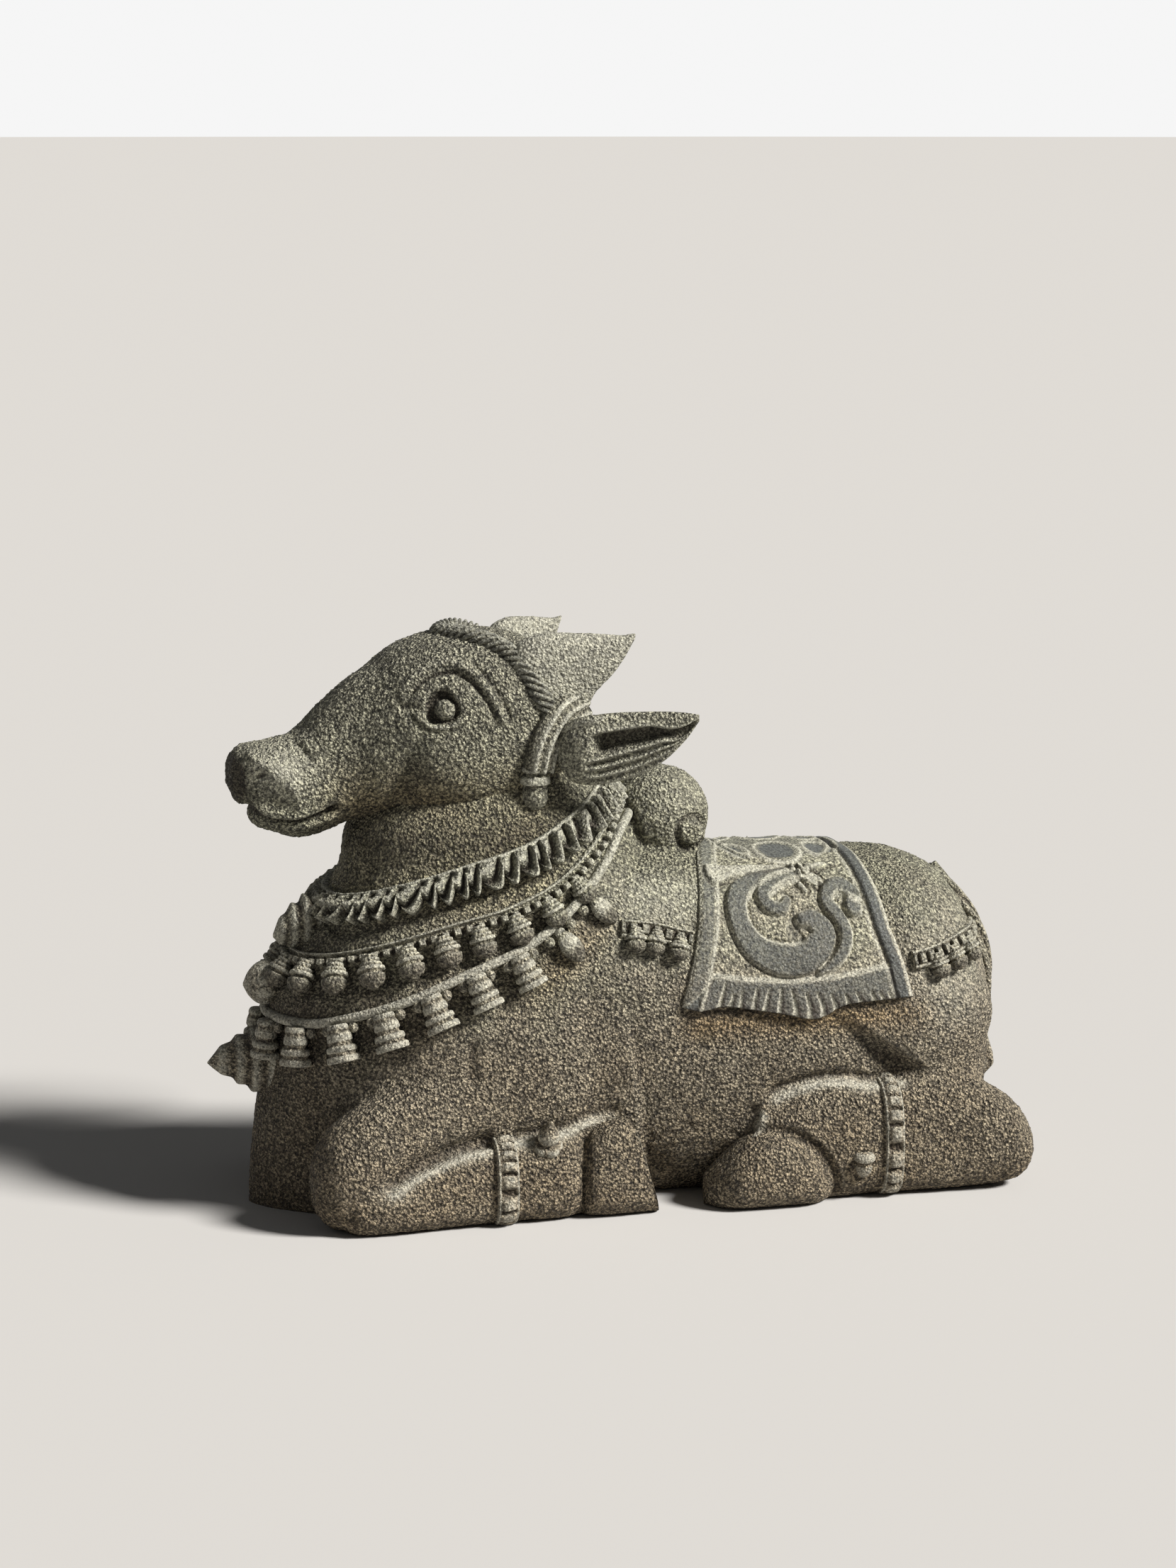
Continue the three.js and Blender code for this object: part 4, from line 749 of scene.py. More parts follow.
def carve_lines(coat, x, y, z):
    """Hollows under the necklaces, ledges of the folded legs and grooves round the hooves, with painted shade
    in the hollows, under the ledges and in the grooves, and a painted highlight along each ledge's edge.
    """
    move, rubbed_and_highlight, dirt_and_shade = coat
    for line, width in ((COLLAR_LINE, 2.6), (BELL_LINE, 4.5), (CUP_LINE, 5)):
        d, t = from_line(x, z, smooth(line, 40))
        recess = hill(d + 8.2, width) * (t > 0) * (t < 0.98)
        move -= 1.5 * recess
        # Painted shade where the necklaces hang over the hollow.
        dirt_and_shade += 0.3 * recess * (1 - 0.6 * ease(x, -60, -10))
    for line, drop, long in LEDGES:
        d, t = from_line(x, z, smooth(line, 40))
        here = ease(t, 0, long) * (1 - ease(t, 0.9, 1)) * (t > 0) * (t < 1) * ease(np.abs(y), 50, 57)
        move += here * (0.9 * hill(d + 1.2, 1.3) - drop * hill(d - 1.9, 1.7) - 0.6 * drop * hill(d - 4, 4))
        # Pale worn edge along the ledge with painted highlight on it; painted shade below it.
        rubbed_and_highlight += 1.1 * here * hill(d + 1.0, 2.2)
        dirt_and_shade += 0.35 * here * hill(d - 2.8, 1.4)
    for line, deep, wide in GROOVES:
        d, t = from_line(x, z, smooth(line, 40))
        here = (t > 0) * (t < 1) * ease(np.abs(y), 46, 54)
        move -= deep * hill(d, wide) * here
        # Painted shade in the groove.
        dirt_and_shade += 0.5 * hill(d, wide) * here


def carve_body(shell, sizes):
    """Folds and steps of the body as offsets along its normals: each is a step or a groove by the distance
    to a line drawn on the flank. Deep grooves get dirt and painted shade, crests are rubbed pale with painted
    highlight, and the chest's forward faces get painted shade."""
    x, y, z = shell.points.T
    normal = normals_of(shell)
    side = ease(np.abs(y), 25, 40)
    coat = move, rubbed_and_highlight, dirt_and_shade = np.zeros((3, len(x)))
    carve_flank(coat, x, y, z, side, sizes)
    carve_lines(coat, x, y, z)
    # Pale patches on the shoulder, the hump and the haunch: paler worn stone, and painted highlight where the
    # light falls fullest.
    rubbed_and_highlight += 0.6 * patch_at(x, z, (6, 128), (32, 26)) * side
    rubbed_and_highlight += 0.35 * patch_at(x, z, (16, 166), (24, 16))
    rubbed_and_highlight += 0.5 * patch_at(x, z, (128, 98), (24, 30))
    # Painted shade on the chest's faces that turn forward, away from the key light.
    dirt_and_shade += 0.4 * ease(-normal[:, 0], 0.55, 0.95) * (1 - ease(x, -140, -110)) * (1 - ease(z, 118, 130))
    # Pale patch on the fore leg's ledge: pale worn stone and painted highlight.
    rubbed_and_highlight += 0.5 * patch_at(x, z, (-112, 18), (9, 4.5)) * side
    move += wobble(shell.points, 24, 0.35, 3) + wobble(shell.points, 9, 0.2, 4)
    shell.points = shell.points + normal * move[:, None]
    set_down(shell.points)
    shell.tone[:, 0], shell.tone[:, 3] = rubbed_and_highlight, dirt_and_shade


def set_down(points):
    """Nothing under the floor, and the outer lower edge of the legs as a quarter circle: below 8 mm the
    points are drawn inwards."""
    points[:, 2] = np.maximum(points[:, 2], 0)
    low = np.clip((8 - points[:, 2]) / 8, 0, 1)
    out = np.abs(points[:, 1])
    points[:, 1] -= np.sign(points[:, 1]) * 6.5 * (1 - np.sqrt(1 - low ** 2)) * ease(out, 48, 62)


def uneven(shell, size, depth, seed):
    """Slow unevenness along the normals."""
    shell.points += normals_of(shell) * wobble(shell.points, size, depth, seed)[:, None]


def hammered(shell, pairs, depth, seed):
    """Small random dents over the whole skin, smoothed once."""
    rng = np.random.default_rng(seed)
    dents = rng.normal(0, depth, (len(shell.points), 1))
    dents = neighbour_mean(dents, pairs)
    lifted = shell.points + normals_of(shell) * dents
    lifted[:, 2] = np.where(shell.points[:, 2] <= 0.01, 0, np.maximum(lifted[:, 2], 0))
    shell.points = lifted


def wear_and_painted_light(shell, pairs, strength=1.0, low=0.16, high=0.7):
    """Pale rubbed edges with painted highlight, and dark hollows with dirt and painted shade, from how far a
    point stands out of its surroundings or lies deeper.
    """
    out = standing_out(shell, pairs, 4)
    shell.tone[:, 0] = np.maximum(shell.tone[:, 0], strength * ease(out, low, high))
    shell.tone[:, 3] = np.maximum(shell.tone[:, 3], 0.9 * strength * ease(-out, low, high))


def part_of(shell, low, high):
    """The part of a skin between two planes across the body. It runs a little past each plane, sinking
    there, so that neighbouring parts pass under each other."""
    past = np.maximum(shell.points[:, :1] - high, low - shell.points[:, :1])
    points = shell.points - normals_of(shell) * LAP_SUNK * ease(past, 0, LAP)
    mesh = mesh_of("part", Shell(points, shell.quads, shell.tris, shell.tone))
    work = bmesh.new()
    work.from_mesh(mesh)
    for place, away in ((low - LAP, -1), (high + LAP, 1)):
        bmesh.ops.bisect_plane(
            work, geom=work.verts[:] + work.edges[:] + work.faces[:],
            plane_co=Vector(((place + SHIFT) * 0.001, 0, 0)), plane_no=Vector((away, 0, 0)), clear_outer=True,
        )
        rim = [edge for edge in work.edges if edge.is_boundary]
        if rim:
            bmesh.ops.holes_fill(work, edges=rim, sides=0)
    bmesh.ops.triangulate(work, faces=[face for face in work.faces if len(face.verts) > 4])
    work.to_mesh(mesh)
    work.free()
    return mesh


def length_property(name, description, value):
    """A length in metres that the panel shows."""
    return bpy.props.FloatProperty(name=name, description=description, default=value, unit="LENGTH")


def angle_property(name, description, value):
    """An angle that the panel shows."""
    return bpy.props.FloatProperty(name=name, description=description, default=value, subtype="ANGLE")


def colour_property(name, description, value):
    """A colour that the panel shows."""
    return bpy.props.FloatVectorProperty(name=name, description=description, default=value, subtype="COLOR",
                                         size=3, min=0, max=1)


class BodySizes(bpy.types.PropertyGroup):
    grain: length_property("Facet size", "Size of the facets of the body's skin", 0.0011)
    fold_depth: length_property("Flank fold", "Depth of the fold before the thigh", 0.0068)
    shoulder_step: length_property("Shoulder step", "Step behind the shoulder", 0.003)
    dents: length_property("Hammer dents", "Depth of the bush hammer's dents", 0.00032)
    face_grain: length_property("Facet size of the head", "Size of the facets of the head", 0.00075)
    eye_depth: length_property("Eye depth", "Depth of the eye's socket", 0.0038)
    brow_depth: length_property("Brow depth", "Depth of the groove under the brow", 0.0026)


class GraniteColours(bpy.types.PropertyGroup):
    light_grain: colour_property("Light grain", "Feldspar grains", (0.57, 0.545, 0.43))
    middle_grain: colour_property("Middle grain", "Grey grains", (0.235, 0.222, 0.18))
    dark_grain: colour_property("Dark grain", "Mica grains", (0.034, 0.032, 0.03))
    # Pale stone of worn edges. The same pale also paints highlight on lit edges, ledges and tops.
    rubbed_and_highlight: colour_property("Rubbed stone", "Edges worn pale", (0.545, 0.538, 0.458))
    slate: colour_property("Polished stone", "Smooth blue-grey stone", (0.055, 0.061, 0.06))
    # Brown low down: earth stain, and painted warm bounce light from the floor.
    earth_and_bounce: colour_property("Earth tint", "Brown tint of the lower flank", (0.76, 0.60, 0.46))
    moss: colour_property("Green tint", "Green tint of the shoulder and the hump", (0.96, 1.0, 0.87))
    # Ochre where the tone is stained: rust, and on the neck and the lower head painted warm bounce light.
    stain_and_bounce: colour_property("Ochre stain", "Rust below the dress", (1.0, 0.72, 0.40))
    # Dark brown of dirt in hollows. It also paints shade in grooves, under overhangs and on faces turned from
    # the light.
    dirt_and_shade: colour_property("Dirt", "Dark brown dirt in the hollows", (0.035, 0.024, 0.017))


class CARVING_OT_body(bpy.types.Operator):
    """Body, chest, hump and folded legs as one hammered skin, in three parts"""
    bl_idname = "carving.body"
    bl_label = "Body"

    def execute(self, context):
        sizes = context.scene.body_sizes
        forms = [loft(lengthwise, TRUNK), loft(neck, NECK), ellipsoid(*HUMP), drum(*HUMP_CURL)]
        (x, out, z), radii = HAUNCH
        for side, _ in SIDES:
            forms.append(ellipsoid((x, side * out, z), radii))
            forms += [loft(leg, table, side) for table in (FOREARM, FORE_SHANK, HIND_SHANK)]
        body = fused("body", forms, sizes.grain * 1000)
        x, y, z = body.points.T
        soft = patch_at(x, z, (-88, 58), (46, 20)) * ease(np.abs(y), 30, 45)
        soft += patch_at(x, z, (136, 46), (30, 16)) * ease(np.abs(y), 30, 45)
        relaxed(body, 7)
        relaxed(body, 60, np.clip(soft, 0, 1))
        carve_body(body, sizes)
        pairs = relaxed(body, 1)
        wear_and_painted_light(body, pairs, 0.7)
        x, y, z = body.points.T
        under_cloth = hill(z - 78, 7) * ease(x, 5, 20) * (1 - ease(x, 108, 125))
        d, _ = from_line(x, z, smooth(CUP_LINE, 40) - (0, 17))
        # Brown on the upper neck in front: stain, and painted warm bounce light.
        neck_brown = 0.4 * ease(z, 118, 134) * (1 - ease(x, -45, -20))
        under_cups = 0.7 * hill(d, 8) * ease(x, -70, -30) * (1 - ease(z, 118, 128))
        body.tone[:, 2] = np.clip(under_cloth + neck_brown + under_cups, 0, 1)
        # Painted shadow of the head on the neck under the jaw.
        shadow_under_jaw = hill(z - 156 - 0.02 * x, 9) * (1 - ease(x, -40, -20))
        body.tone[:, 3] = np.maximum(body.tone[:, 3], 0.6 * shadow_under_jaw)
        # Darker band on the body along the cloth's hem: painted shade under the cloth's edge.
        hem = hill(z - 82.5, 1.8) * ease(x, 14, 20) * (1 - ease(x, 106, 112)) * (np.abs(y) > 40)
        body.tone[:, 3] = np.maximum(body.tone[:, 3], 0.7 * hem)
        hammered(body, pairs, sizes.dents * 1000, 5)
        nodes = [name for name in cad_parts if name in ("trunk", "neck_and_chest", "hump")
                 or name.startswith(("foreleg_", "hind_leg_"))]
        for name, low, high in BODY_PARTS:
            stands_for = nodes if name == "body_fore" else ()
            placed(name, part_of(body, low, high), finish_named("rough_granite"), "granite", *stands_for)
        return {"FINISHED"}


# The head

EYE, EYE_CORNER, NOSTRIL = (-82.5, 209.8), (-95.5, 210.4), (-155.5, 183.5)
MOUTH_CORNER, CHEEK = (-127, 167.4), (-97.5, 180)
BROW = (
    (-98.3, 211.1), (-94.9, 217.3), (-88.3, 222.8), (-78.8, 225.5), (-71.5, 221.9), (-65.7, 214.7),
    (-62.2, 207.1), (-59.8, 200.7),
)
NOSE_NICK = ((-140.7, 196), (-137, 192.3), (-133.5, 187.5))
MUZZLE_FOLD = ((-161, 193), (-150, 183), (-142, 176), (-139, 166))
MOUTH = ((-161, 167.8), (-158.6, 166.2), (-153, 163.8), (-142, 162.5), (-130.6, 165.4), (-124.2, 168.5))


def carve_head(shell, sizes):
    """Eye, brow, mouth, nostril and hollows as offsets along the normals, by the distance to a point or
    to a line drawn on the side of the head. What is cut deep gets dirt and painted shade; the cheek hollow,
    the underside and the muzzle's front get painted shade, the lower head brown with painted bounce light,
    and raised parts painted highlight."""
    x, y, z = shell.points.T
    normal = normals_of(shell)
    side = ease(np.abs(y), 6, 12)
    ex, ez = EYE
    r = np.hypot(x - ex, z - ez)
    deep = sizes.eye_depth * 1000
    turn = np.degrees(np.arctan2(z - ez, x - ex)) % 360
    reach = 6.2 + 2.2 * ease(turn, 40, 90) * (1 - ease(turn, 215, 265))
    ball = arc(r, 4.5)
    cut = -deep * (1 - ease(r, reach - 1.6, reach + 0.4))
    lid = np.hypot((x - ex + 2) / 8.4, (z - ez) / 6.8) * 7.4
    below = ease(turn, 165, 195) * (1 - ease(turn, 300, 330))
    cut -= 1.0 * hill(lid - 10.2, 1.1) * below
    d = np.hypot(np.maximum(np.abs(x - EYE_CORNER[0]) - 3, 0), (z - EYE_CORNER[1] + 0.05 * (x + 97)) * 0.9)
    cut = np.minimum(cut, -1.5 * hill(d, 1.8))
    d, t = from_line(x, z, smooth(BROW, 50))
    arch = np.sin(np.pi * np.clip(t, 0, 1))
    on_line = (t > 0) & (t < 1)
    taper = ease(t, 0, 0.1) * (1 - ease(t, 0.94, 1)) * on_line
    groove = (0.55 + 0.45 * arch) * hill(d + 0.6, 0.7 + 0.5 * arch)
    cut = np.minimum(cut, -sizes.brow_depth * 1000 * groove * taper)
    cut = np.minimum(cut, -1.7 * hill(d - 5.4, 0.8) * ease(t, 0.5, 0.65) * taper)
    raised = 0.9 * hill(d - 2.2, 1.2) * taper + 0.5 * hill(lid - 8.2, 1.0) * below
    raised += 4.0 * hill(d - 1, 3.2) * (1 - ease(t, 0.3, 0.5)) * on_line * (y > 0)
    nose = np.hypot((x - NOSTRIL[0]) / 3.2, (z - NOSTRIL[1] - 0.3 * (x - NOSTRIL[0])) / 1.9)
    cut = np.minimum(cut, -2.2 * hill(nose, 1))
    d, t = from_line(x, z, smooth(NOSE_NICK, 20))
    cut = np.minimum(cut, -1.3 * hill(d, 1.0) * ((t > 0) & (t < 1)))
    move = (cut + raised + (deep + 2.4) * ball * (r < 4.5)) * side
    cut = cut * side * (r > 4.3)
    d, t = from_line(x, z, smooth(MOUTH, 40))
    lips = ease(-x, 121, 127) * (np.abs(d) < 8)
    corner = hill(np.hypot((x - MOUTH_CORNER[0]) / 1.5, z - MOUTH_CORNER[1]), 1.8)
    slit = -3.0 * hill(d, 1.1) - 2.2 * corner
    move += (slit + 1.2 * hill(d + 3, 1.4) + 0.8 * hill(d - 2.6, 1.4)) * lips
    cut = np.minimum(cut, slit * lips)
    d, t = from_line(x, z, smooth(MUZZLE_FOLD, 30))
    drawn_in = np.clip(-d, 0, 9) * 0.36 * (x < -138) * ease(z, 165, 170)
    move += (0.6 * hill(d, 1.6) * (x < -139) - drawn_in) * side
    cheek = np.hypot((x - CHEEK[0] - 0.2 * (z - CHEEK[1])) / 6, (z - CHEEK[1]) / 12)
    move -= 4.2 * hill(cheek, 1) * side
    move += 2.4 * patch_at(x, z, (-76, 182), (17, 17)) * side
    move += wobble(shell.points, 18, 0.25, 7) + wobble(shell.points, 7, 0.12, 8)
    shell.points = shell.points + normal * move[:, None]
    # Painted shade on the underside of the head and on the front of the muzzle, which face away from the
    # light; dirt and painted shade in the cuts; painted shade in the cheek hollow.
    under = ease(-normal[:, 2], 0.35, 0.95) * ease(x, -150, -120)
    nose = ease(-normal[:, 0], 0.5, 0.85) * (1 - ease(x, -163, -158))
    shell.tone[:, 3] = 0.9 * ease(-cut, 0.8, 2.6) + 0.4 * hill(cheek, 0.9) * side + 0.6 * under + 0.9 * nose
    # Brown low on the head: stain, and painted warm bounce light.
    shell.tone[:, 2] = 0.8 * (1 - ease(z, 168, 196)) * ease(x, -140, -110)
    # Pale raised brow and lids and a pale patch on the muzzle's top: worn stone, and painted highlight.
    shell.tone[:, 0] = 0.5 * ease(raised * side, 0.5, 1.2) + 0.7 * patch_at(x, z, (-146, 185), (15, 11))


class CARVING_OT_head(bpy.types.Operator):
    """Head with eyes, brows, nostrils and mouth"""
    bl_idname = "carving.head"
    bl_label = "Head"

    def execute(self, context):
        sizes = context.scene.body_sizes
        head = fused("head", [loft(lengthwise, HEAD)], sizes.face_grain * 1000)
        relaxed(head, 6)
        carve_head(head, sizes)
        pairs = relaxed(head, 1)
        wear_and_painted_light(head, pairs, 0.8)
        hammered(head, pairs, sizes.dents * 1000, 9)
        piece("head_stone", head, finish_named("rough_granite"), "granite", "head")
        return {"FINISHED"}


# Lines and small forms of the dress

COLLAR_LINE = (
    (-130, 125.6), (-120, 128), (-100, 134.2), (-75, 142), (-48, 150.2), (-27, 161), (-12, 170), (-2, 175),
)
BELL_LINE = (
    (-143, 104), (-131, 106.4), (-108, 113), (-83, 120.8), (-57, 127.6), (-36, 137), (-18.7, 151), (-9, 162),
    (3, 167),
)
CUP_LINE = (
    (-152, 80.5), (-138, 81.7), (-124, 86), (-103, 93.4), (-78, 104), (-51, 115), (-30, 130), (-16, 144.5),
    (-7, 156), (6, 161),
)
# Share of the way round the neck that stays bare at the nape. Points and shares of the closed lines.
NAPE_SHARE = 0.24
RING_STEPS = 1400
ROUND_NECK = np.arange(RING_STEPS)[:, None] / RING_STEPS
FROM_FRONT = np.minimum(ROUND_NECK, 1 - ROUND_NECK)


def neck_ring(heights, count):
    """Closed line round the neck whose height depends on the place along the body, with the outward and the
    upward direction at each point. The height is put right again and again until place and height agree."""
    fine = round_turns(2400)
    height = np.full(len(fine), float(heights[0][1]))
    for _ in range(40):
        height += 0.6 * (along(heights, neck(height, fine)[:, 0])[1] - height)
    line = neck(height, fine)
    length = np.concatenate([[0], np.cumsum(np.linalg.norm(np.roll(line, -1, 0) - line, axis=1))])
    want = length[-1] * np.arange(count) / count
    turn = np.interp(want, length, np.append(fine, 2 * np.pi))
    height = np.interp(want, length, np.append(height, height[0]))
    point = neck(height, turn)
    inside = np.stack([along(NECK, height)[4], 0 * height, height], -1)
    out = facing(neck, height, turn, inside)
    up = unit(np.cross(out, unit(np.roll(point, -1, 0) - np.roll(point, 1, 0))))
    return point, out, up * np.sign(up[:, 2:])


def flank_line(table, pairs, side, count):
    """Line on the side of a lengthwise form, with the outward and the upward direction at each point."""
    flat = smooth(pairs, count)
    point = on_flank(table, flat[:, 0], flat[:, 1], side)
    out = flank_facing(table, flat[:, 0], flat[:, 1], side)
    up = unit(np.cross(out, np.gradient(point, axis=0)))
    return point, out, up * np.sign(up[:, 2:] + 1e-9)


def ribbon(line, out, up, v, lift, tone, loop=False, foot=-1.5):
    """Raised band along a line: each point lies v to the side and the lift above. Its foot is in the
    stone."""
    v, lift = np.broadcast_arrays(v, lift)
    over = line[:, None] + up[:, None] * v[..., None] + out[:, None] * lift[..., None]
    under = line[:, None] + up[:, None] * v[:, [-1, 0], None] + out[:, None] * foot
    tone = np.concatenate([tone, tone[:, [-1, 0]]], 1)
    return Shell.of_rings(np.concatenate([over, under], 1), loop, tone)


def tones(rubbed_and_highlight, dark=0.0, stain_and_bounce=0.0, hollow=0.0):
    """The four parts of the tone side by side."""
    return np.stack(np.broadcast_arrays(rubbed_and_highlight, dark, stain_and_bounce, hollow), -1)


def turned(profile, turns=28, flatness=1.0, rubbed_and_highlight=0.0):
    """Turned form: radius and height from the profile, round the second axis, flattened along the third."""
    radius, height = np.asarray(profile, float).T[:, :, None]
    turn = round_turns(turns)
    radius = np.maximum(radius, 0.02)
    rings = np.stack([radius * np.cos(turn), height + 0 * turn, radius * np.sin(turn) * flatness], -1)
    return Shell.of_rings(rings, tone=tones(np.broadcast_to(np.reshape(rubbed_and_highlight, (-1, 1)), rings.shape[:2])))


def eased(profile, bevel=0.25):
    """A profile whose corners are broken by two points close to each."""
    p = np.asarray(profile, float)
    away = unit(p[:-2] - p[1:-1]), unit(p[2:] - p[1:-1])
    short = [np.minimum(bevel, 0.4 * np.linalg.norm(q - p[1:-1], axis=1))[:, None] for q in (p[:-2], p[2:])]
    corners = np.stack([p[1:-1] + away[0] * short[0], p[1:-1] + away[1] * short[1]], 1).reshape(-1, 2)
    return np.concatenate([p[:1], corners, p[-1:]])


def repeated(shell, spots, bases, sizes):
    """Copies of a small form: its points times a size, turned by a base and moved to a spot."""
    spots, sizes = np.asarray(spots, float), np.broadcast_to(sizes, len(spots))
    points = np.einsum("nk,mkj->mnj", shell.points, bases) * sizes[:, None, None] + spots[:, None]
    start = (np.arange(len(spots)) * len(shell.points))[:, None, None]
    quads, tris = (shell.quads + start).reshape(-1, 4), (shell.tris + start).reshape(-1, 3)
    return Shell(points.reshape(-1, 3), quads, tris, np.tile(shell.tone, (len(spots), 1)))


def hang_places(count):
    """Shares round the neck, evenly on both sides of the front and short of the nape, and the size of what
    hangs there, which shrinks towards the nape with the square of the way."""
    share = (np.arange(count) + 0.5) / count
    share = np.where(share < 0.5, share * (1 - NAPE_SHARE), 1 - (1 - share) * (1 - NAPE_SHARE))
    return share, 1 - 0.35 * (2 * np.minimum(share, 1 - share)) ** 2


def hung(shell, ring, shares, drop, reach, sizes):
    """Copies of a turned form that hang on the neck below a line."""
    point, out, up = ring
    i = np.round(shares * len(point)).astype(int) % len(point)
    out, up = out[i], up[i]
    across = unit(np.cross(up, out))
    out = np.cross(across, up)
    spots = point[i] - up * (drop * sizes)[:, None] + out * (reach * sizes + 0.5)[:, None]
    return repeated(shell, spots, np.stack([across, up, out], 1), sizes)


def bell_form(profile, turns, flatness, shaded=0.6):
    """Turned form with pale rings and dark grooves between them, which hold dirt and painted shade. Under its
    lip shade is painted in.
    """
    form = turned(profile, turns, flatness)
    wear_and_painted_light(form, pairs_of(form), 0.8, 0.02, 0.26)
    radius, height = np.asarray(profile, float).T
    lip = height[np.argmax(radius)]
    under = ease(lip - 1 - form.points[:, 1], 0, 2.5)
    # Painted shade under the lip.
    form.tone[:, 3] = np.maximum(form.tone[:, 3], shaded * under)
    form.tone[:, 0] *= 1 - 0.7 * under
    return form


def beads(ring, shares, v, radius, lift, flatness=0.8):
    """Small flattened balls along a line."""
    rows = np.linspace(0, np.pi, 9)
    ball = turned(np.stack([np.sin(rows), np.cos(rows)], -1) * radius, 12, flatness, 0.25)
    return hung(ball, ring, shares, -v, lift, np.ones(len(shares)))


def twisted(line, out, radius, strands, lays, count=40, tone=0.5, relief=0.32):
    """Twisted rope: the radius is larger on each strand, and the strands run round with the way along."""
    onward = unit(np.gradient(line, axis=0))
    across = unit(np.cross(onward, out))
    out = np.cross(across, onward)
    turn = round_turns(count)
    share = np.linspace(0, 1, len(line))[:, None]
    crest = np.abs(np.cos((strands * turn - 2 * np.pi * lays * share) / 2)) ** 0.8
    r = np.reshape(radius, (-1, 1)) * (1.02 - relief + relief * crest)
    away = across[:, None] * np.cos(turn)[:, None] + out[:, None] * np.sin(turn)[:, None]
    # Pale crests of the strands with painted highlight, and painted shade in the grooves between them.
    tone = tones(tone * crest ** 3, 0, 0, 0.8 * (1 - ease(crest, 0.05, 0.55)))
    return Shell.of_rings(line[:, None] + away * r[..., None], tone=tone)


# Widest radius of the round bell's and of the cup bell's profile, in metres.
BELL_WIDEST, CUP_WIDEST = 0.0058, 0.0065


class DressSizes(bpy.types.PropertyGroup):
    strands: bpy.props.IntProperty(name="Collar strands", description="Slanting strands round the collar",
                                   default=54)
    strand_relief: length_property("Strand relief", "How far the strands stand out", 0.0042)
    bell_radius: length_property("Bell radius", "Radius of the round bells", 0.0058)
    cup_radius: length_property("Cup radius", "Radius of the cup bells' mouths", 0.0074)
    scroll_relief: length_property("Scroll relief", "How far the scrolls stand out", 0.0017)
    cut_depth: length_property("Fringe cuts", "Depth of the cuts of the fringe", 0.0016)


BELL = eased((
    (0, -7.4), (2, -7.2), (2.4, -6.4), (4.6, -5.4), (5.6, -3.4), (5.8, -1.4), (4.6, -0.9), (4.6, 0.1),
    (6, 0.6), (5.9, 1.8), (4.9, 2.4), (4.7, 3.6), (3.8, 4.2), (3.9, 5.6), (2.9, 6.2), (3, 7.4), (0, 7.7),
), 0.2)
CUP = eased((
    (0, 3), (3.6, 3), (4.2, 1.8), (4.0, 0.6), (4.7, -1), (4.9, -3), (4.2, -3.6), (4.3, -4.6), (5.7, -5.2),
    (5.9, -6.8), (5.1, -7.4), (5.1, -8.2), (6.3, -8.8), (6.5, -10.8), (5.6, -11), (4.6, -8.5), (0, -7.5),
), 0.25)
BAND_TEETH, BELL_COUNT, CUP_COUNT = 84, 21, 18
DROP = (
    (0, 3), (1.5, 2.8), (2.4, 1.5), (2.2, 0.4), (3.6, -2), (4.6, -5.5), (4.4, -9), (3, -12), (1, -14),
    (0, -14.4),
)


def strand_collar(sizes):
    """Cord over a row of slanting strands, which reach further down than the gaps between them."""
    down = np.linspace(0, 1, 26)
    lean = 1.35 - 0.5 * ease(FROM_FRONT, 0.12, 0.36)
    shift = 0.16 * np.sin(61 * FROM_FRONT) + 0.12 * np.sin(143 * ROUND_NECK)

    def strand(u):
        phase = (sizes.strands * FROM_FRONT + shift + lean * u ** 1.25) % 1
        return np.clip(1 - np.abs(2 * phase - 1) ** 1.7, 0, 1)

    bottom = 3.6 + 5.2 * strand(1.0)
    v = 4.9 - down * (4.9 + bottom)
    cord = arc(down - 0.075, 0.075)
    leaf = ease(down, 0.1, 0.2) * strand(down)
    lift = 0.9 + 1.9 * cord + ease(down, 0.2, 0.5) * (0.5 + 1.4 * down) + sizes.strand_relief * 1000 * leaf
    lift = np.where(down == 0, 0.6, lift)
    # Painted shade in the gaps between the strands and under their tips.
    gap = ease(down, 0.14, 0.24) * (1 - ease(leaf, 0.2, 0.7))
    pale = np.maximum(0.9 * cord + 0 * leaf, 0.8 * leaf ** 3)
    tone = tones(pale, 0.3 * (1 - pale), 0, 0.9 * gap)
    return ribbon(*neck_ring(COLLAR_LINE, RING_STEPS), v, lift, tone, True)


def round_bells(sizes):
    """Band of square teeth under a rail, with bells that hang from it."""
    ring = neck_ring(BELL_LINE, RING_STEPS)
    v = np.linspace(3.2, -3.2, 24)
    rail = hill(v - 2.4, 0.7)
    between = ease(1.4 - np.abs(v + 1), -0.5, 0.5)
    tooth = ease(np.cos(2 * np.pi * BAND_TEETH * FROM_FRONT), -0.5, 0.1) * between
    gap = (1 - tooth) * between
    # Painted shade in the gaps between the teeth.
    tone = tones(np.maximum(0.9 * rail, 0.7 * tooth), 0, 0, 0.95 * gap)
    band = ribbon(*ring, v, 0.6 + 2.0 * rail + 3.1 * tooth, tone, True)
    shares, shrink = hang_places(BELL_COUNT)
    bells = hung(bell_form(BELL, 34, 0.8), ring, shares, 8.2, 2.6, shrink * (sizes.bell_radius / BELL_WIDEST))
    return joined([band, bells])


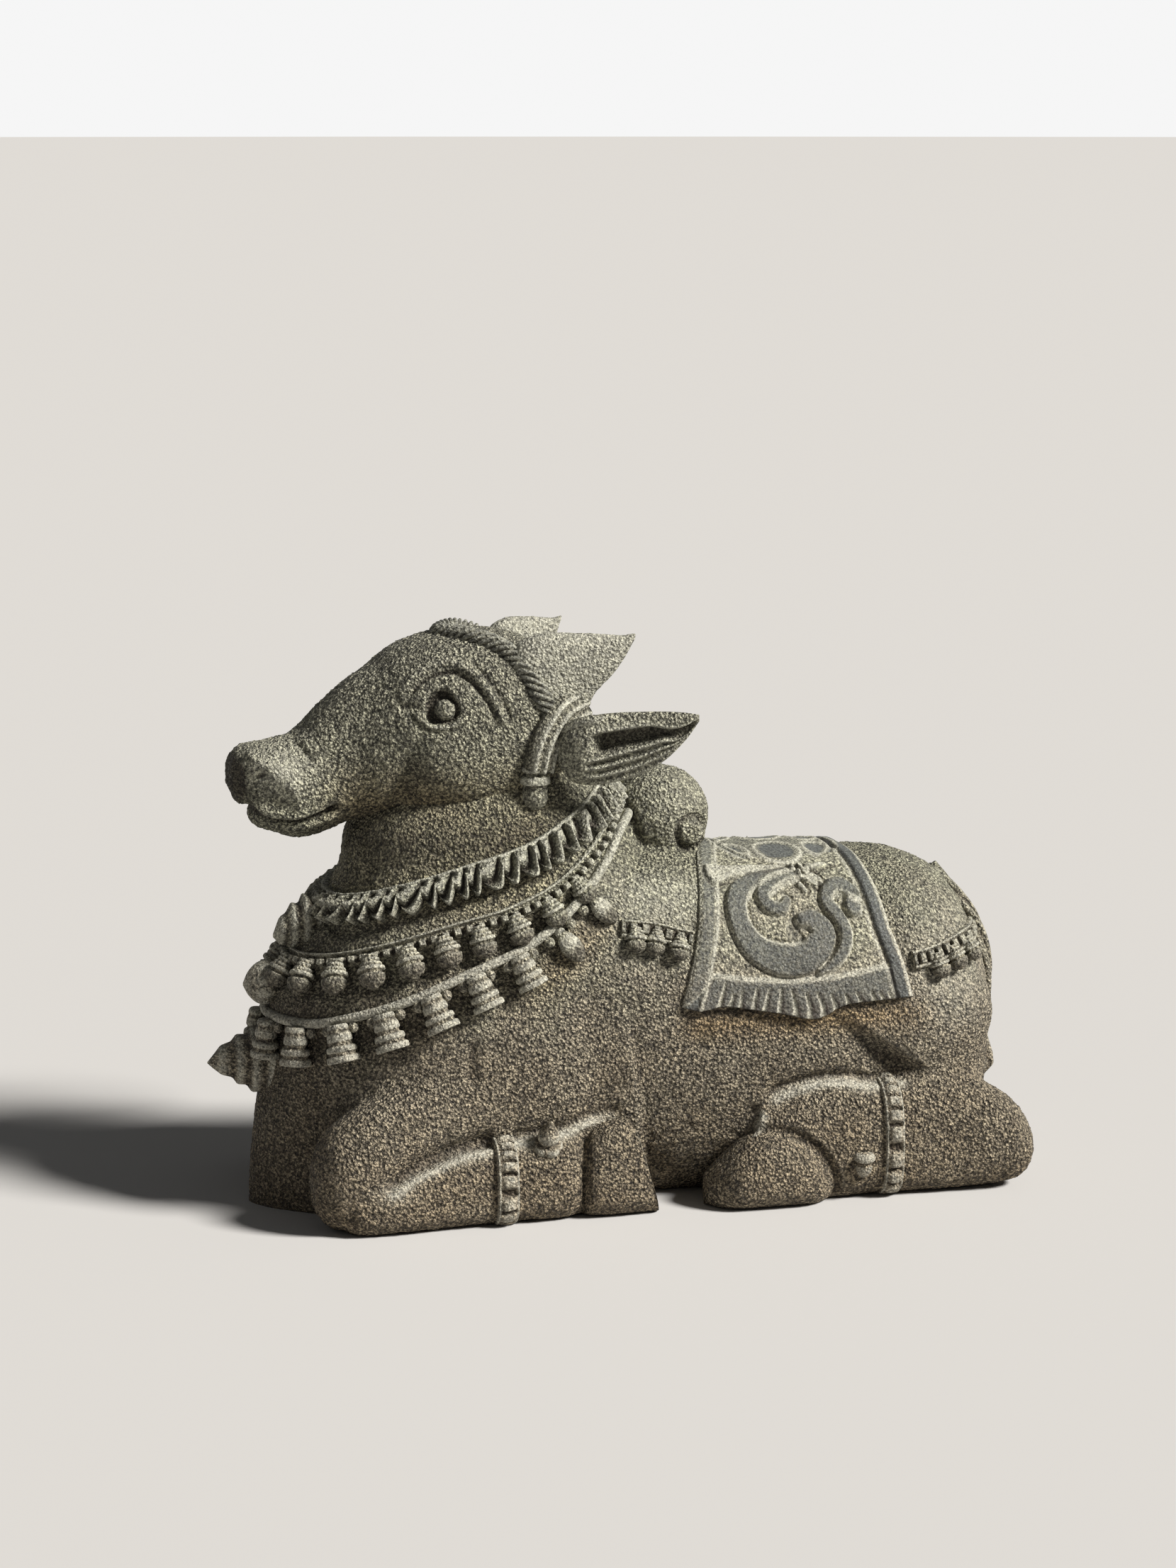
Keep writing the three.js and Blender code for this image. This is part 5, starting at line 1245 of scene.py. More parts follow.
def cup_bells(sizes):
    """Round band with cups under it, drops instead of cups near the nape, and small beads between them."""
    ring = neck_ring(CUP_LINE, RING_STEPS)
    v = np.linspace(1.9, -1.9, 12)
    lift = 0.8 + 2.3 * arc(v, 2) + 0 * ROUND_NECK
    band = ribbon(*ring, v, lift, tones(0.95 + 0 * lift, 0.1), True)
    shares, shrink = hang_places(CUP_COUNT)
    drops = np.minimum(shares, 1 - shares) > 0.3
    scale = sizes.cup_radius / CUP_WIDEST
    cups = hung(bell_form(CUP, 34, 0.8), ring, shares[~drops], 4.2, 3.0, shrink[~drops] * scale)
    ends = hung(bell_form(DROP, 26, 0.7), ring, shares[drops], 4.5, 1.8, shrink[drops] * 1.15)
    between = np.concatenate([(shares[:-1] + shares[1:]) / 2 + k for k in (-0.0085, 0.0085)])
    small = beads(ring, between, -3.8, 2.3, 1.0)
    return joined([band, cups, ends, small])


class CARVING_OT_necklaces(bpy.types.Operator):
    """Collar of slanting strands, necklace of round bells and necklace of cup bells"""
    bl_idname = "carving.necklaces"
    bl_label = "Necklaces"

    def execute(self, context):
        for name, make, node in (("strand_collar", strand_collar, "rope_collar"),
                                 ("round_bells", round_bells, "bell_necklace"),
                                 ("cup_bells", cup_bells, "cup_bell_necklace")):
            shell = make(context.scene.dress_sizes)
            piece(name, shell, finish_named("dressed_granite"), "granite_rubbed", node)
        return {"FINISHED"}


# Chest pendants: height where each hangs, and its steps as share of the way out, half height, half width,
# and how far its middle line has sunk.
PENDANTS = {
    "upper_pendant": (118.5, 17, (
        (0, 10, 10, 0.5), (0.14, 13, 11, 0.5), (0.24, 10, 9.5, 1), (0.4, 12.3, 10.5, 1.2), (0.5, 9, 8.2, 2),
        (0.64, 10, 8, 2.4), (0.75, 6.6, 6, 3.4), (0.87, 5.6, 5, 4), (1, 0.8, 0.8, 6),
    )),
    "round_pendant": (92.5, 13, (
        (0, 9.4, 9, 0), (0.12, 9.6, 9.2, 0), (0.2, 8, 7.8, 0), (0.3, 8.2, 8, 0), (0.42, 8.9, 8.6, 0),
        (0.55, 8.9, 8.6, 0), (0.68, 8, 7.8, 0), (0.8, 6.3, 6, 0), (0.9, 4.2, 4, 0), (1, 0.6, 0.6, 0),
    )),
    "lower_pendant": (62, 24, (
        (0, 16, 13, 2.5), (0.12, 15.6, 12.6, 2.5), (0.2, 13, 11, 2), (0.34, 13.4, 11, 1.8),
        (0.42, 10.6, 9, 1.4), (0.56, 10.6, 8.6, 1.2), (0.64, 7.6, 6.8, 1.2), (0.8, 6.2, 5.4, 1.2),
        (0.92, 2.8, 2.6, 1.6), (1, 0.3, 0.3, 1.8),
    )),
}


class CARVING_OT_pendants(bpy.types.Operator):
    """Stepped buds on the chest under the collar and the necklaces"""
    bl_idname = "carving.pendants"
    bl_label = "Chest pendants"

    def execute(self, context):
        for name, (height, reach, steps) in PENDANTS.items():
            front = neck(height, 0.0)
            rows = eased(np.asarray(steps, float)[:, :2] * (reach, 1), 0.5)
            share = rows[:, 0] / reach
            table = np.asarray(steps, float)
            half_width, sunk = (np.interp(share, table[:, 0], table[:, k]) for k in (2, 3))
            turn = round_turns(56)
            lobes = 1 + 0.03 * np.abs(np.cos(4.5 * turn)) * ease(share, 0, 0.3)[:, None]
            rings = np.stack([
                front[0] + 4 - share[:, None] * (reach + 4) + 0 * turn,
                half_width[:, None] * lobes * np.cos(turn),
                height - sunk[:, None] + rows[:, 1:] * lobes * np.sin(turn),
            ], -1)
            bud = Shell.of_rings(rings)
            uneven(bud, 5, 0.25, 12)
            wear_and_painted_light(bud, pairs_of(bud), 0.95, 0.03, 0.35)
            piece(name + "_bud", bud, finish_named("rough_granite"), "granite", name)
        return {"FINISHED"}


# Saddle cloth: place of the front and of the rear edge by way down from the spine along the skin, and
# height of the hem by share of the way from front to rear.
CLOTH_FRONT = ((0, 34), (16, 29.5), (28, 26.5), (42, 24), (60, 21), (74, 17.7), (85, 14.5), (95, 11.5))
CLOTH_REAR = ((0, 98.2), (15, 99), (31, 99.8), (49, 101.3), (64, 103.2), (81, 108.2), (95, 111.4))
HEM = (
    (0, 85.7), (0.07, 84), (0.18, 85.2), (0.31, 83.2), (0.42, 81.2), (0.54, 78.4), (0.6, 79), (0.69, 83.2),
    (0.83, 84.4), (1, 85),
)
SCROLL = (
    (66, 134.6, 0.9), (54.1, 132.8, 1.7), (44.2, 129.8, 3.1), (38.4, 125, 4.3), (38.5, 116.4, 4.4),
    (44.1, 107.6, 5.2), (54.9, 102.6, 6.1), (66.5, 103.7, 6.2), (73, 111.4, 5.4), (69.6, 117, 3.6),
    (64.5, 117.4, 2.4),
)
SCROLL_EYE = ((61.4, 116.6, 2.2), (60.2, 113.4, 2.6), (62.4, 110.9, 2.4))
SMALL_CURL = (
    (68, 132.6, 1), (57.8, 131.1, 2.1), (50.5, 127.2, 2.7), (51.7, 122.9, 2.6), (57, 121.6, 2.2),
    (59.8, 124.2, 1.7),
)
STEM = (
    (70.7, 97.2, 1.2), (77.2, 100.8, 2.3), (81.9, 106.4, 2.6), (82.9, 112.8, 2.6), (80.2, 118.6, 2.7),
    (76.9, 123.5, 2.7), (79.6, 127.6, 2.6), (85, 128.2, 2.6), (89.6, 124.9, 2.8),
)
STEM_BALL = ((87.6, 121.4, 3.3), (88.3, 120.6, 3.3))
RAISED = (SCROLL, SMALL_CURL, STEM, STEM_BALL)
STRIPS = (
    ((31.5, 135, 2.6), (33.5, 135, 2.5), (38, 135, 1.7), (45.2, 135.4, 1.2), (55.3, 136.3, 1),
     (64.8, 137.2, 0.8)),
    ((71.8, 136.8, 0.6), (91.3, 139.8, 0.7)), ((73.2, 134.9, 0.6), (91.2, 137.2, 0.7)),
    ((64.6, 138.2, 0.8), (68.5, 133, 0.8), (74.5, 129.6, 0.6)),
    ((68.9, 138, 0.7), (72.2, 133.4, 0.7), (77, 130.4, 0.5)), ((67.2, 129.6, 0.7), (68.9, 127.6, 0.6)),
)
# Fringe cuts: place and height of the upper end, and place at the hem.
CUTS = (
    (30.1, 96, 26.2), (33.3, 90.9, 30.8), (36.8, 91.4, 35.4), (43.2, 92.9, 41.1), (48.5, 92.6, 46),
    (53.5, 92.3, 52.4), (57.7, 91.7, 59.2), (63.8, 89.8, 65.2), (68.7, 89.4, 70.9), (74.4, 88.6, 76.5),
    (80.8, 88.4, 82.2), (85.4, 88.8, 87.9), (91.8, 89.1, 93.9), (95.3, 88, 98.5), (99.6, 88, 101.7),
)


# Upper edge of the hem's band, by place and height. Oval on the top: its place and radii. Loops in it:
# their middles and radii.
HEM_BAND = ((20, 98), (22, 97.6), (38, 95.2), (59, 93.2), (80, 94.4), (101, 97.5), (110, 98.5))
CROWN = (66.5, 27, 33)
LOOPS = ((64.5, 15, 9.5, 12), (42, 15, 9.5, 11), (83, 12, 6, 10))
# Thickness of the cloth, and how far down the tables of its edges reach.
CLOTH_THICKNESS, EDGE_REACH = 1.7, 95


def along_stroke(x, z, stroke, count):
    """Distance to a stroke's middle line, and the half width of the stroke there."""
    line = smooth(stroke, count)
    d, t = from_line(x, z, line[:, :2])
    return d, np.interp(t, np.linspace(0, 1, count), line[:, 2])


def cloth_skin(down, onward, side):
    """Point of the trunk's skin under the cloth, the outward direction there, and the way down in
    millimetres: the cloth runs from the spine to the hem in equal steps along the skin."""
    way = np.linspace(0, 100, 201)
    turn = np.linspace(np.pi / 2, 0, 1500)
    places = np.linspace(0, 120, 61)
    ring = lengthwise(TRUNK, places[:, None], turn, LEFT)
    steps = np.linalg.norm(np.diff(ring, axis=1), axis=-1)
    length = np.concatenate([0 * places[:, None], np.cumsum(steps, 1)], 1)
    turns_of = np.stack([np.interp(way, row, turn) for row in length])
    hem = along(HEM, onward[0])[1]
    hem_way = np.stack([np.interp(-hem, -ring[k, :, 2], length[k]) for k in range(len(places))])
    front, rear = (np.interp(down * EDGE_REACH, *np.transpose(edge)) for edge in (CLOTH_FRONT, CLOTH_REAR))
    place = front * (1 - onward) + rear * onward
    row = place / 2
    low = np.clip(row.astype(int), 0, 59)
    share = row - low
    column = np.arange(onward.shape[1]) + 0 * low
    to_hem = hem_way[low, column] * (1 - share) + hem_way[low + 1, column] * share
    s = down * to_hem
    k = np.clip((s / 0.5).astype(int), 0, 199)
    t = s / 0.5 - k
    at = [turns_of[low + a, k] * (1 - t) + turns_of[low + a, k + 1] * t for a in (0, 1)]
    angle = at[0] * (1 - share) + at[1] * share

    def surface(u, v):
        return lengthwise(TRUNK, u, v, side)

    inside = np.stack([place, 0 * place, along(TRUNK, place)[4]], -1)
    return surface(place, angle), facing(surface, place, angle, inside), s, to_hem


def cut_borders(coat, ahead, behind):
    """Dark strip and pale line along the front edge, dark channel between pale lines along the rear edge,
    with painted shade beside the front line and in the rear groove.
    """
    lift, rubbed_and_highlight, dark, dirt_and_shade = coat
    strip = ease(6.6 - ahead, 0, 0.8)
    lift += 0.5 * strip + 0.6 * hill(ahead - 7.4, 0.9) - 1.0 * (1 - ease(ahead, 0, 1.6))
    rubbed_and_highlight += hill(ahead - 7.4, 1.0) + 0.5 * hill(ahead - 0.4, 0.8)
    dark += 0.7 * strip * (1 - hill(ahead - 0.4, 0.8))
    # Painted shade beside the front edge's pale line.
    dirt_and_shade += 0.3 * hill(ahead - 9, 0.7)
    channel = ease(behind, 1.6, 2.4) * (1 - ease(behind, 6.6, 7.6))
    lift += 0.4 * channel - 1.3 * hill(behind - 7.2, 0.9) - 1.0 * (1 - ease(behind, 0, 1.4))
    dark += channel
    # Painted shade in the groove beside the rear channel.
    dirt_and_shade += 0.45 * hill(behind - 7.2, 1.0)
    rubbed_and_highlight += 0.9 * hill(behind - 0.9, 0.9) + 0.6 * hill(behind - 9, 0.9)


def cut_hem(coat, x, z, flat, ahead, behind, above, depth):
    """Dark band over the hem, mitred at the front corner, darker towards its lower edge, and the cuts of its
    fringe, each with a painted shadow beside it.
    """
    lift, rubbed_and_highlight, dark, dirt_and_shade = coat
    top = np.interp(x, *np.transpose(HEM_BAND))
    hem = ease(top - z, -0.3, 0.5) * flat * (behind > 6)
    mitre = ease(ahead - 0.75 * above, 0.5, 1.3)
    lift += 1.0 * hem * mitre * ease(ahead, 5.5, 6.5)
    dark += 0.8 * hem * mitre
    rubbed_and_highlight += 1.1 * hill(z - top - 0.8, 1.1) * flat * (ahead > 7) * (behind > 7)
    # Darker towards the lower edge of the band.
    dirt_and_shade += 0.5 * ease(88 - z, 0, 6) * hem * mitre
    rubbed_and_highlight += 0.7 * hill(ahead - 0.75 * above - 0.4, 0.6) * hem
    for px, pz, low in CUTS:
        d, t = from_line(x[flat], z[flat], np.array([(px, pz), (low, 83.5), (low + 0.3 * (low - px), 76)]))
        half = 0.45 + 1.1 * t
        cut = np.exp(-(d / half) ** 4) * ease(t, 0, 0.08) * hem[flat]
        lift[flat] -= depth * cut
        rubbed_and_highlight[flat] += 1.4 * cut
        # Painted shadow beside each cut.
        dirt_and_shade[flat] += 0.7 * hill(d - half - 0.6, 0.6) * ease(t, 0, 0.1) * hem[flat]


def cut_strokes(coat, x, z, near, high):
    """Dark scrolls with a pale outline and a painted shadow along their outer side, a pit in the large one,
    and thin pale strips with painted shade beside them.
    """
    lift, rubbed_and_highlight, dark, dirt_and_shade = coat
    for stroke in RAISED:
        d, half = along_stroke(x[near], z[near], stroke, 70)
        edge = np.abs(d) - half
        body = 1 - ease(edge, -0.7, 0.35)
        dome = arc(d, half + 1.5)
        rise = CLOTH_THICKNESS + high * (0.75 + 0.35 * dome)
        lift[near] = np.maximum(lift[near] - 0.7 * hill(edge - 0.7, 0.7), 0.5) * (1 - body) + rise * body
        dark[near] = np.where(body > 0.5, 0.85, dark[near])
        inner = ease(d * (1 if stroke is not STEM else -1), -0.5, 0.5)
        rubbed_and_highlight[near] += hill(edge + 0.1, 0.8) * (0.45 + 0.55 * inner)
        # Painted shadow along the scroll's outer side.
        dirt_and_shade[near] += 0.25 * hill(edge - 0.9, 0.6) * (1 - inner)
    d, _ = along_stroke(x[near], z[near], SCROLL_EYE, 30)
    pit = 1 - ease(np.abs(d), 2.0, 3.0)
    lift[near] -= 1.1 * pit
    dark[near] += 0.4 * pit
    for stroke in STRIPS:
        d, half = along_stroke(x[near], z[near], stroke, 24)
        edge = np.abs(d) - 1.35 * half
        body = 1 - ease(edge, -0.4, 0.35)
        lift[near] += 1.1 * body - 0.7 * hill(edge - 0.9, 0.5)
        rubbed_and_highlight[near] += 1.1 * body
        # Painted shade beside the strip.
        dirt_and_shade[near] += 0.6 * hill(edge - 1.0, 0.6)


def cut_crown(coat, x, y, z):
    """Two pale rings round the middle of the back, by the distance to an oval, and loops inside them."""
    lift, rubbed_and_highlight, dark, _ = coat
    r = np.hypot((x - CROWN[0]) / CROWN[1], y / CROWN[2])
    crown = z > 138
    for at, height in ((1.0, 0.5), (0.86, 0.4)):
        lift += height * hill((r - at) * 30, 1.3) * crown
        rubbed_and_highlight += 0.9 * hill((r - at) * 30, 1.1) * crown
    lift -= 0.35 * hill((r - 0.93) * 30, 1.0) * crown
    dark += 0.9 * hill((r - 0.93) * 30, 1.2) * crown + 0.45 * (1 - ease(r, 0.8, 0.86)) * crown
    for cx, cy, rx, ry in LOOPS:
        q = np.hypot((x - cx) / rx, (np.abs(y) - cy) / ry)
        lift += (0.5 * hill((q - 1) * rx, 0.9) - 0.35 * (1 - ease(q, 0.6, 0.85))) * (r < 0.86)
        rubbed_and_highlight += 1.2 * hill((q - 1) * rx, 1.2) * (r < 0.86)
        dark += 0.7 * (1 - ease(q, 0.6, 0.9)) * (r < 0.86)


def cloth_relief(points, s, to_hem, onward, sizes):
    """Height of the cloth over the skin and its tone: borders and fringe by the distance to the edges,
    scrolls by the distance to their middle lines, and loops on the top by the distance to ovals. Each
    part of the pattern adds to the same four rows."""
    x, y, z = points.T
    wide = np.interp(s, *np.transpose(CLOTH_REAR)) - np.interp(s, *np.transpose(CLOTH_FRONT))
    ahead, behind, above = onward * wide, (1 - onward) * wide, to_hem - s
    lift = np.full(len(x), CLOTH_THICKNESS)
    rubbed_and_highlight, dark, dirt_and_shade = np.zeros(len(x)), np.zeros(len(x)), np.zeros(len(x))
    coat = lift, rubbed_and_highlight, dark, dirt_and_shade
    flat = np.abs(y) > 28
    cut_borders(coat, ahead, behind)
    cut_hem(coat, x, z, flat, ahead, behind, above, sizes.cut_depth * 500)
    cut_strokes(coat, x, z, flat & (z > 90), sizes.scroll_relief * 1000)
    cut_crown(coat, x, y, z)
    rubbed_and_highlight = np.clip(rubbed_and_highlight, 0, 1)
    return lift, rubbed_and_highlight, np.clip(dark, 0, 1) * (1 - rubbed_and_highlight), np.clip(dirt_and_shade, 0, 1) * (1 - rubbed_and_highlight)


class CARVING_OT_cloth(bpy.types.Operator):
    """Saddle cloth with borders, fringe, scrolls and loops in low relief"""
    bl_idname = "carving.cloth"
    bl_label = "Saddle cloth"

    def execute(self, context):
        down = np.linspace(-1, 1, 401)[:, None]
        onward = np.linspace(0, 1, 191)[None]
        grid = np.broadcast_arrays(np.abs(down), onward)
        side = np.where(down < 0, LEFT, RIGHT)
        points, out, s, to_hem = cloth_skin(*grid, side)
        flat = [a.reshape(-1, *a.shape[2:]) for a in (points, s, to_hem, np.array(grid[1]))]
        relief = cloth_relief(*flat, context.scene.dress_sizes)
        lift, rubbed_and_highlight, dark, dirt_and_shade = (a.reshape(s.shape) for a in relief)
        lift = lift + wobble(points.reshape(-1, 3), 6, 0.12, 21).reshape(s.shape)
        top = points + out * lift[..., None]
        foot = points - out * 1.5
        rings = np.concatenate([top, foot[:, [-1, 0]]], 1)
        tone = tones(rubbed_and_highlight, dark, 0, dirt_and_shade)
        tone = np.concatenate([tone, tone[:, [-1, 0]]], 1)
        ends = [np.concatenate([foot[k], foot[k, [-1, 0]]])[None] for k in (0, -1)]
        rings = np.concatenate([ends[0], rings, ends[1]])
        tone = np.concatenate([tone[:1], tone, tone[-1:]])
        cloth = Shell.of_rings(rings, tone=tone)
        piece("carved_cloth", cloth, finish_named("cloth_granite"), "granite_scroll", "saddle_cloth",
              "cloth_scroll_left", "cloth_scroll_right")
        return {"FINISHED"}


# Horns, ears and the ropes of the head

# Upper and rear edge of a horn, by place, distance from the middle and height.
HORN_TOP = (
    (-55, 24, 220), (-50, 26, 233), (-39, 28, 238.2), (-24, 30, 238.2), (-9, 32, 236.8), (-2.2, 33, 237.4),
)
HORN_REAR = (
    (-32, 24, 194), (-22, 27, 206), (-17.4, 29, 214), (-11.4, 31, 221), (-7, 32, 227.6), (-2.6, 33, 235.6),
)
HORN_REACH = {LEFT: 1, RIGHT: 0.7}
EAR = (
    (0, -34, 36, 191.5, 7, 4),
    (0.1, -30.5, 39.5, 190.8, 12, 7),
    (0.25, -24.5, 43.5, 191.5, 14, 8.2),
    (0.42, -16, 47, 193, 14.2, 6.5),
    (0.6, -5, 51, 195.2, 13, 4.8),
    (0.78, 4.5, 55, 198.4, 10.2, 3.6),
    (0.92, 12.5, 58, 202.6, 5.6, 2.6),
    (1, 17.8, 59.5, 206, 1.3, 1),
)
EAR_REACH = {LEFT: 1, RIGHT: 0.7}
BROW_ROPE = ((-36, 202), (-40, 210), (-43.5, 216), (-48.7, 226), (-57, 233), (-68.5, 236.6))
CHEEK_STRAP = ((-25, 207.5), (-33.5, 205.5), (-39.7, 198.5), (-43, 191), (-44.3, 184.5))
TASSEL = (
    (0, 2), (4.8, 2), (5.9, 1), (5.9, -0.8), (4.5, -1.6), (4.5, -2.6), (6, -3.4), (6.3, -6), (5, -6.8),
    (5.2, -9), (5.4, -12), (4.4, -15), (2.4, -16.8), (0, -17),
)


def horn(side):
    """Fin: rounded-square sections between an upper and a rear edge that meet in the tip."""
    share = np.linspace(0, 1, 80)[:, None]
    top, rear = (smooth(np.array(edge) * (1, side, 1), 80) for edge in (HORN_TOP, HORN_REAR))
    turn = round_turns(96)
    c, s = rounded(turn, 3.0)
    thick = 1.0 + 8.5 * (1 - share) ** 0.8
    rings = ((top + rear) / 2)[:, None] + ((top - rear) / 2)[:, None] * c[:, None]
    rings[..., 1] += s * thick
    rings[..., 0] = -50 + (rings[..., 0] + 50) * HORN_REACH[side]
    return Shell.of_rings(rings)


def ear(side):
    """Leaf: a full round base, then a deep hollow under a flat upper rim and a thin lower leaf with folds
    that come together at the tip."""
    share = np.linspace(0, 1, 150)[:, None]
    turn = round_turns(170)
    rows = ear_rows(side)
    _, x, out, z, half, thick = along(rows, share)
    ahead = along(rows, np.minimum(share + 0.02, 1))
    back = along(rows, np.maximum(share - 0.02, 0))
    way = unit(np.stack([ahead[1] - back[1], side * (ahead[2] - back[2]), 0 * x], -1))
    face = np.stack([way[..., 1], -way[..., 0], 0 * x], -1) * -side
    c, s = rounded(turn, 2.2)
    v = c + 0 * share
    low = -0.05 + 0.12 * ease(share, 0.3, 0.6) - 0.7 * ease(share, 0.75, 0.95)
    high = 0.5 - 0.45 * ease(share, 0.65, 0.95)
    hollow = (s > 0) * ease(share, 0.27, 0.38) * (1 - ease(share, 0.95, 1))
    hollow = hollow * ease(v, low - 0.12, low + 0.08) * (1 - ease(v, high - 0.08, high + 0.06))
    scoop = (s > 0) * ease(share, 0.22, 0.36) * (1 - ease(share, 0.9, 1))
    scoop = scoop * ease(v, -0.97, -0.82) * (1 - ease(v, low - 0.12, low + 0.06))
    bend = (low + 0.95) / 4
    folds = scoop * sum(hill(v + 0.95 - k * bend, 0.28 * bend) for k in (1, 2.1, 3.2))
    depth = s * thick * (1 - 1.35 * hollow - 0.5 * scoop + 0.42 * folds)
    points = np.stack([x + 0 * v, side * out + 0 * v, z + v * half], -1) + face * depth[..., None]
    rim = (s > 0) * ease(share, 0.25, 0.4) * (hill(v - high - 0.1, 0.1) + hill(v + 0.97, 0.06))
    # Dirt and painted shade in the ear's hollow and scoop.
    dirt_and_shade = 0.7 * hollow + 0.25 * scoop * (1 - folds)
    return Shell.of_rings(points, tone=tones(0.25 + 0.4 * rim + 0.6 * folds, 0, 0, dirt_and_shade))


def ear_rows(side):
    """Stations of the ear, drawn together along the body on the side where the ear is shorter."""
    rows = np.array(EAR, float)
    rows[:, 1] = rows[0, 1] + (rows[:, 1] - rows[0, 1]) * EAR_REACH[side]
    return rows


def curl_over_ear(side):
    """Middle line of the pale ridge from the rope's end over the top of the ear."""
    _, x, out, z, half, thick = along(ear_rows(side), np.linspace(0.03, 0.4, 50))
    return np.stack([x, side * (out + thick * 0.5), z + half * 0.95], -1)


class CARVING_OT_head_dress(bpy.types.Operator):
    """Horns, ears, the twisted rope over the brow and the straps on the cheeks"""
    bl_idname = "carving.head_dress"
    bl_label = "Horns, ears and ropes"

    def execute(self, context):
        rough, dressed = finish_named("rough_granite"), finish_named("dressed_granite")
        for side, word in SIDES:
            fin = horn(side)
            uneven(fin, 9, 0.3, 31)
            pairs = pairs_of(fin)
            wear_and_painted_light(fin, pairs, 0.8)
            fin.tone[:, 0] = np.maximum(fin.tone[:, 0], 0.8)
            hammered(fin, pairs, 0.15, 32)
            piece(f"horn_fin_{word}", fin, rough, "granite", f"horn_{word}")
            leaf = ear(side)
            uneven(leaf, 9, 0.25, 33)
            line = curl_over_ear(side)
            normal = unit(np.stack([0 * line[:, 0], 0 * line[:, 0] + side * 0.7, 0 * line[:, 0] + 0.7], -1))
            taper = 2.3 * (1 - ease(np.linspace(0, 1, 50), 0.6, 1.0)) + 0.4
            ridge = twisted(line, normal, taper, 1, 0, count=20, tone=0.9)
            piece(f"ear_leaf_{word}", joined([leaf, ridge]), rough, "granite", f"ear_{word}")
            ring = flank_line(HEAD, CHEEK_STRAP, side, 60)
            v = np.linspace(6.6, -6.6, 48)
            grooves = 0.5 - 0.5 * np.cos(2 * np.pi * (v + 6.6) / 4.4)
            level = 0 * ring[0][:, :1]
            lift = 1.6 + 4.0 * arc(v, 7) + 1.5 * grooves + level
            # Painted shade in the low lines between the strap's ridges.
            tone = tones(0.95 * grooves + level, 0, 0, 0.4 * (1 - grooves))
            strap = ribbon(*ring, v, lift, tone)
            base = on_flank(HEAD, -45.0, 178.0, side)
            tassel = bell_form(eased(TASSEL, 0.3), 40, 1.0, 0.2)
            spot = (base[0], base[1] + side * 2.5, 184)
            tassel = repeated(tassel, [spot], np.array([[(1, 0, 0), (0, 0, 1), (0, -1, 0)]]), 1.0)
            strap = joined([strap, tassel])
            piece(f"cheek_strap_{word}", strap, dressed, "granite_rubbed", f"ear_strap_{word}")
        crown = along(HEAD, np.array([-77.0]))[1]
        left = np.array([on_flank(HEAD, np.array(x), z, LEFT) for x, z in BROW_ROPE])
        line = smooth(np.concatenate([left, [(-77, 0, crown[0] - 1.2)], left[::-1] * (1, -1, 1)]), 560)
        normal = unit((line - (-60, 0, 195)) * (0, 1, 1))
        rope = twisted(line, normal, 4.0, 6, 42, count=96, tone=0.8, relief=0.4)
        piece("twisted_brow_rope", rope, finish_named("dark_granite"), "granite_dark", "brow_rope")
        return {"FINISHED"}


# Straps, legs' dress, hooves and tail

GIRTH = ((-12, 118), (0, 116.6), (10, 114), (17, 112.3))
HIP = ((112, 99.4), (117, 100), (123.5, 101.2), (134, 104), (142, 105.8), (148, 106.3))
TAIL = (
    (138, 0, 127), (149.5, 0, 114.4), (158.4, -1, 101), (162.2, -3, 84), (160.2, -6, 66), (158.6, -9.5, 51),
    (158.4, -14, 36),
)
FORE_FLOWER = (
    (0, 8.5), (1, 7.4), (2.4, 4.6), (4.3, 1.4), (4.6, -1), (3.9, -3), (5.6, -3.6), (6.6, -5), (6.2, -6.8),
    (4, -8.5), (0, -9),
)
# Size of a strap's bells against the necklace's, and beads round an anklet.
STRAP_BELL_SIZE = 0.74
ANKLET_BEADS = 23
HIND_FLOWER = (
    (0, 5.4), (3.4, 5.2), (4.6, 3.8), (4.4, 2.2), (3, 1.6), (3, 0.6), (3.6, -0.6), (3.2, -3), (1.8, -5),
    (0, -5.8),
)

# Name, profile, petals, place and tilt of the buds on the legs.
FLOWERS = (("fore", FORE_FLOWER, 5, (-46.4, 63.5, 36.5), 0.5), ("hind", HIND_FLOWER, 0, (88.2, 66, 16), 0.15))


def strap(pairs, half, side, bells, teeth):
    """Two pale edges with square beads between them, and round bells below."""
    ring = flank_line(TRUNK, pairs, side, 240)
    v = np.linspace(half, -half, 30)
    rails = hill(np.abs(v) - half + 0.8, 0.6)
    share = np.linspace(0, 1, 240)[:, None]
    tooth = ease(np.cos(2 * np.pi * teeth * share), -0.6, 0) * ease(half - 1.5 - np.abs(v), 0, 0.6)
    lift = 1.2 + 1.1 * rails + 1.7 * tooth
    gap = (1 - tooth) * ease(half - 1.2 - np.abs(v), 0, 0.6)
    # Painted shade in the gaps between the beads.
    tone = tones(0.8 * rails + 0.5 * tooth, 0.15 * tooth, 0, 0.85 * gap)
    band = ribbon(*ring, v, lift, tone, foot=-2)
    shares, sizes = np.array(bells), np.full(len(bells), STRAP_BELL_SIZE)
    drops = hung(bell_form(BELL, 28, 0.85), ring, shares * 0.999, half + 3.2, 2.2, sizes)
    return joined([band, drops])


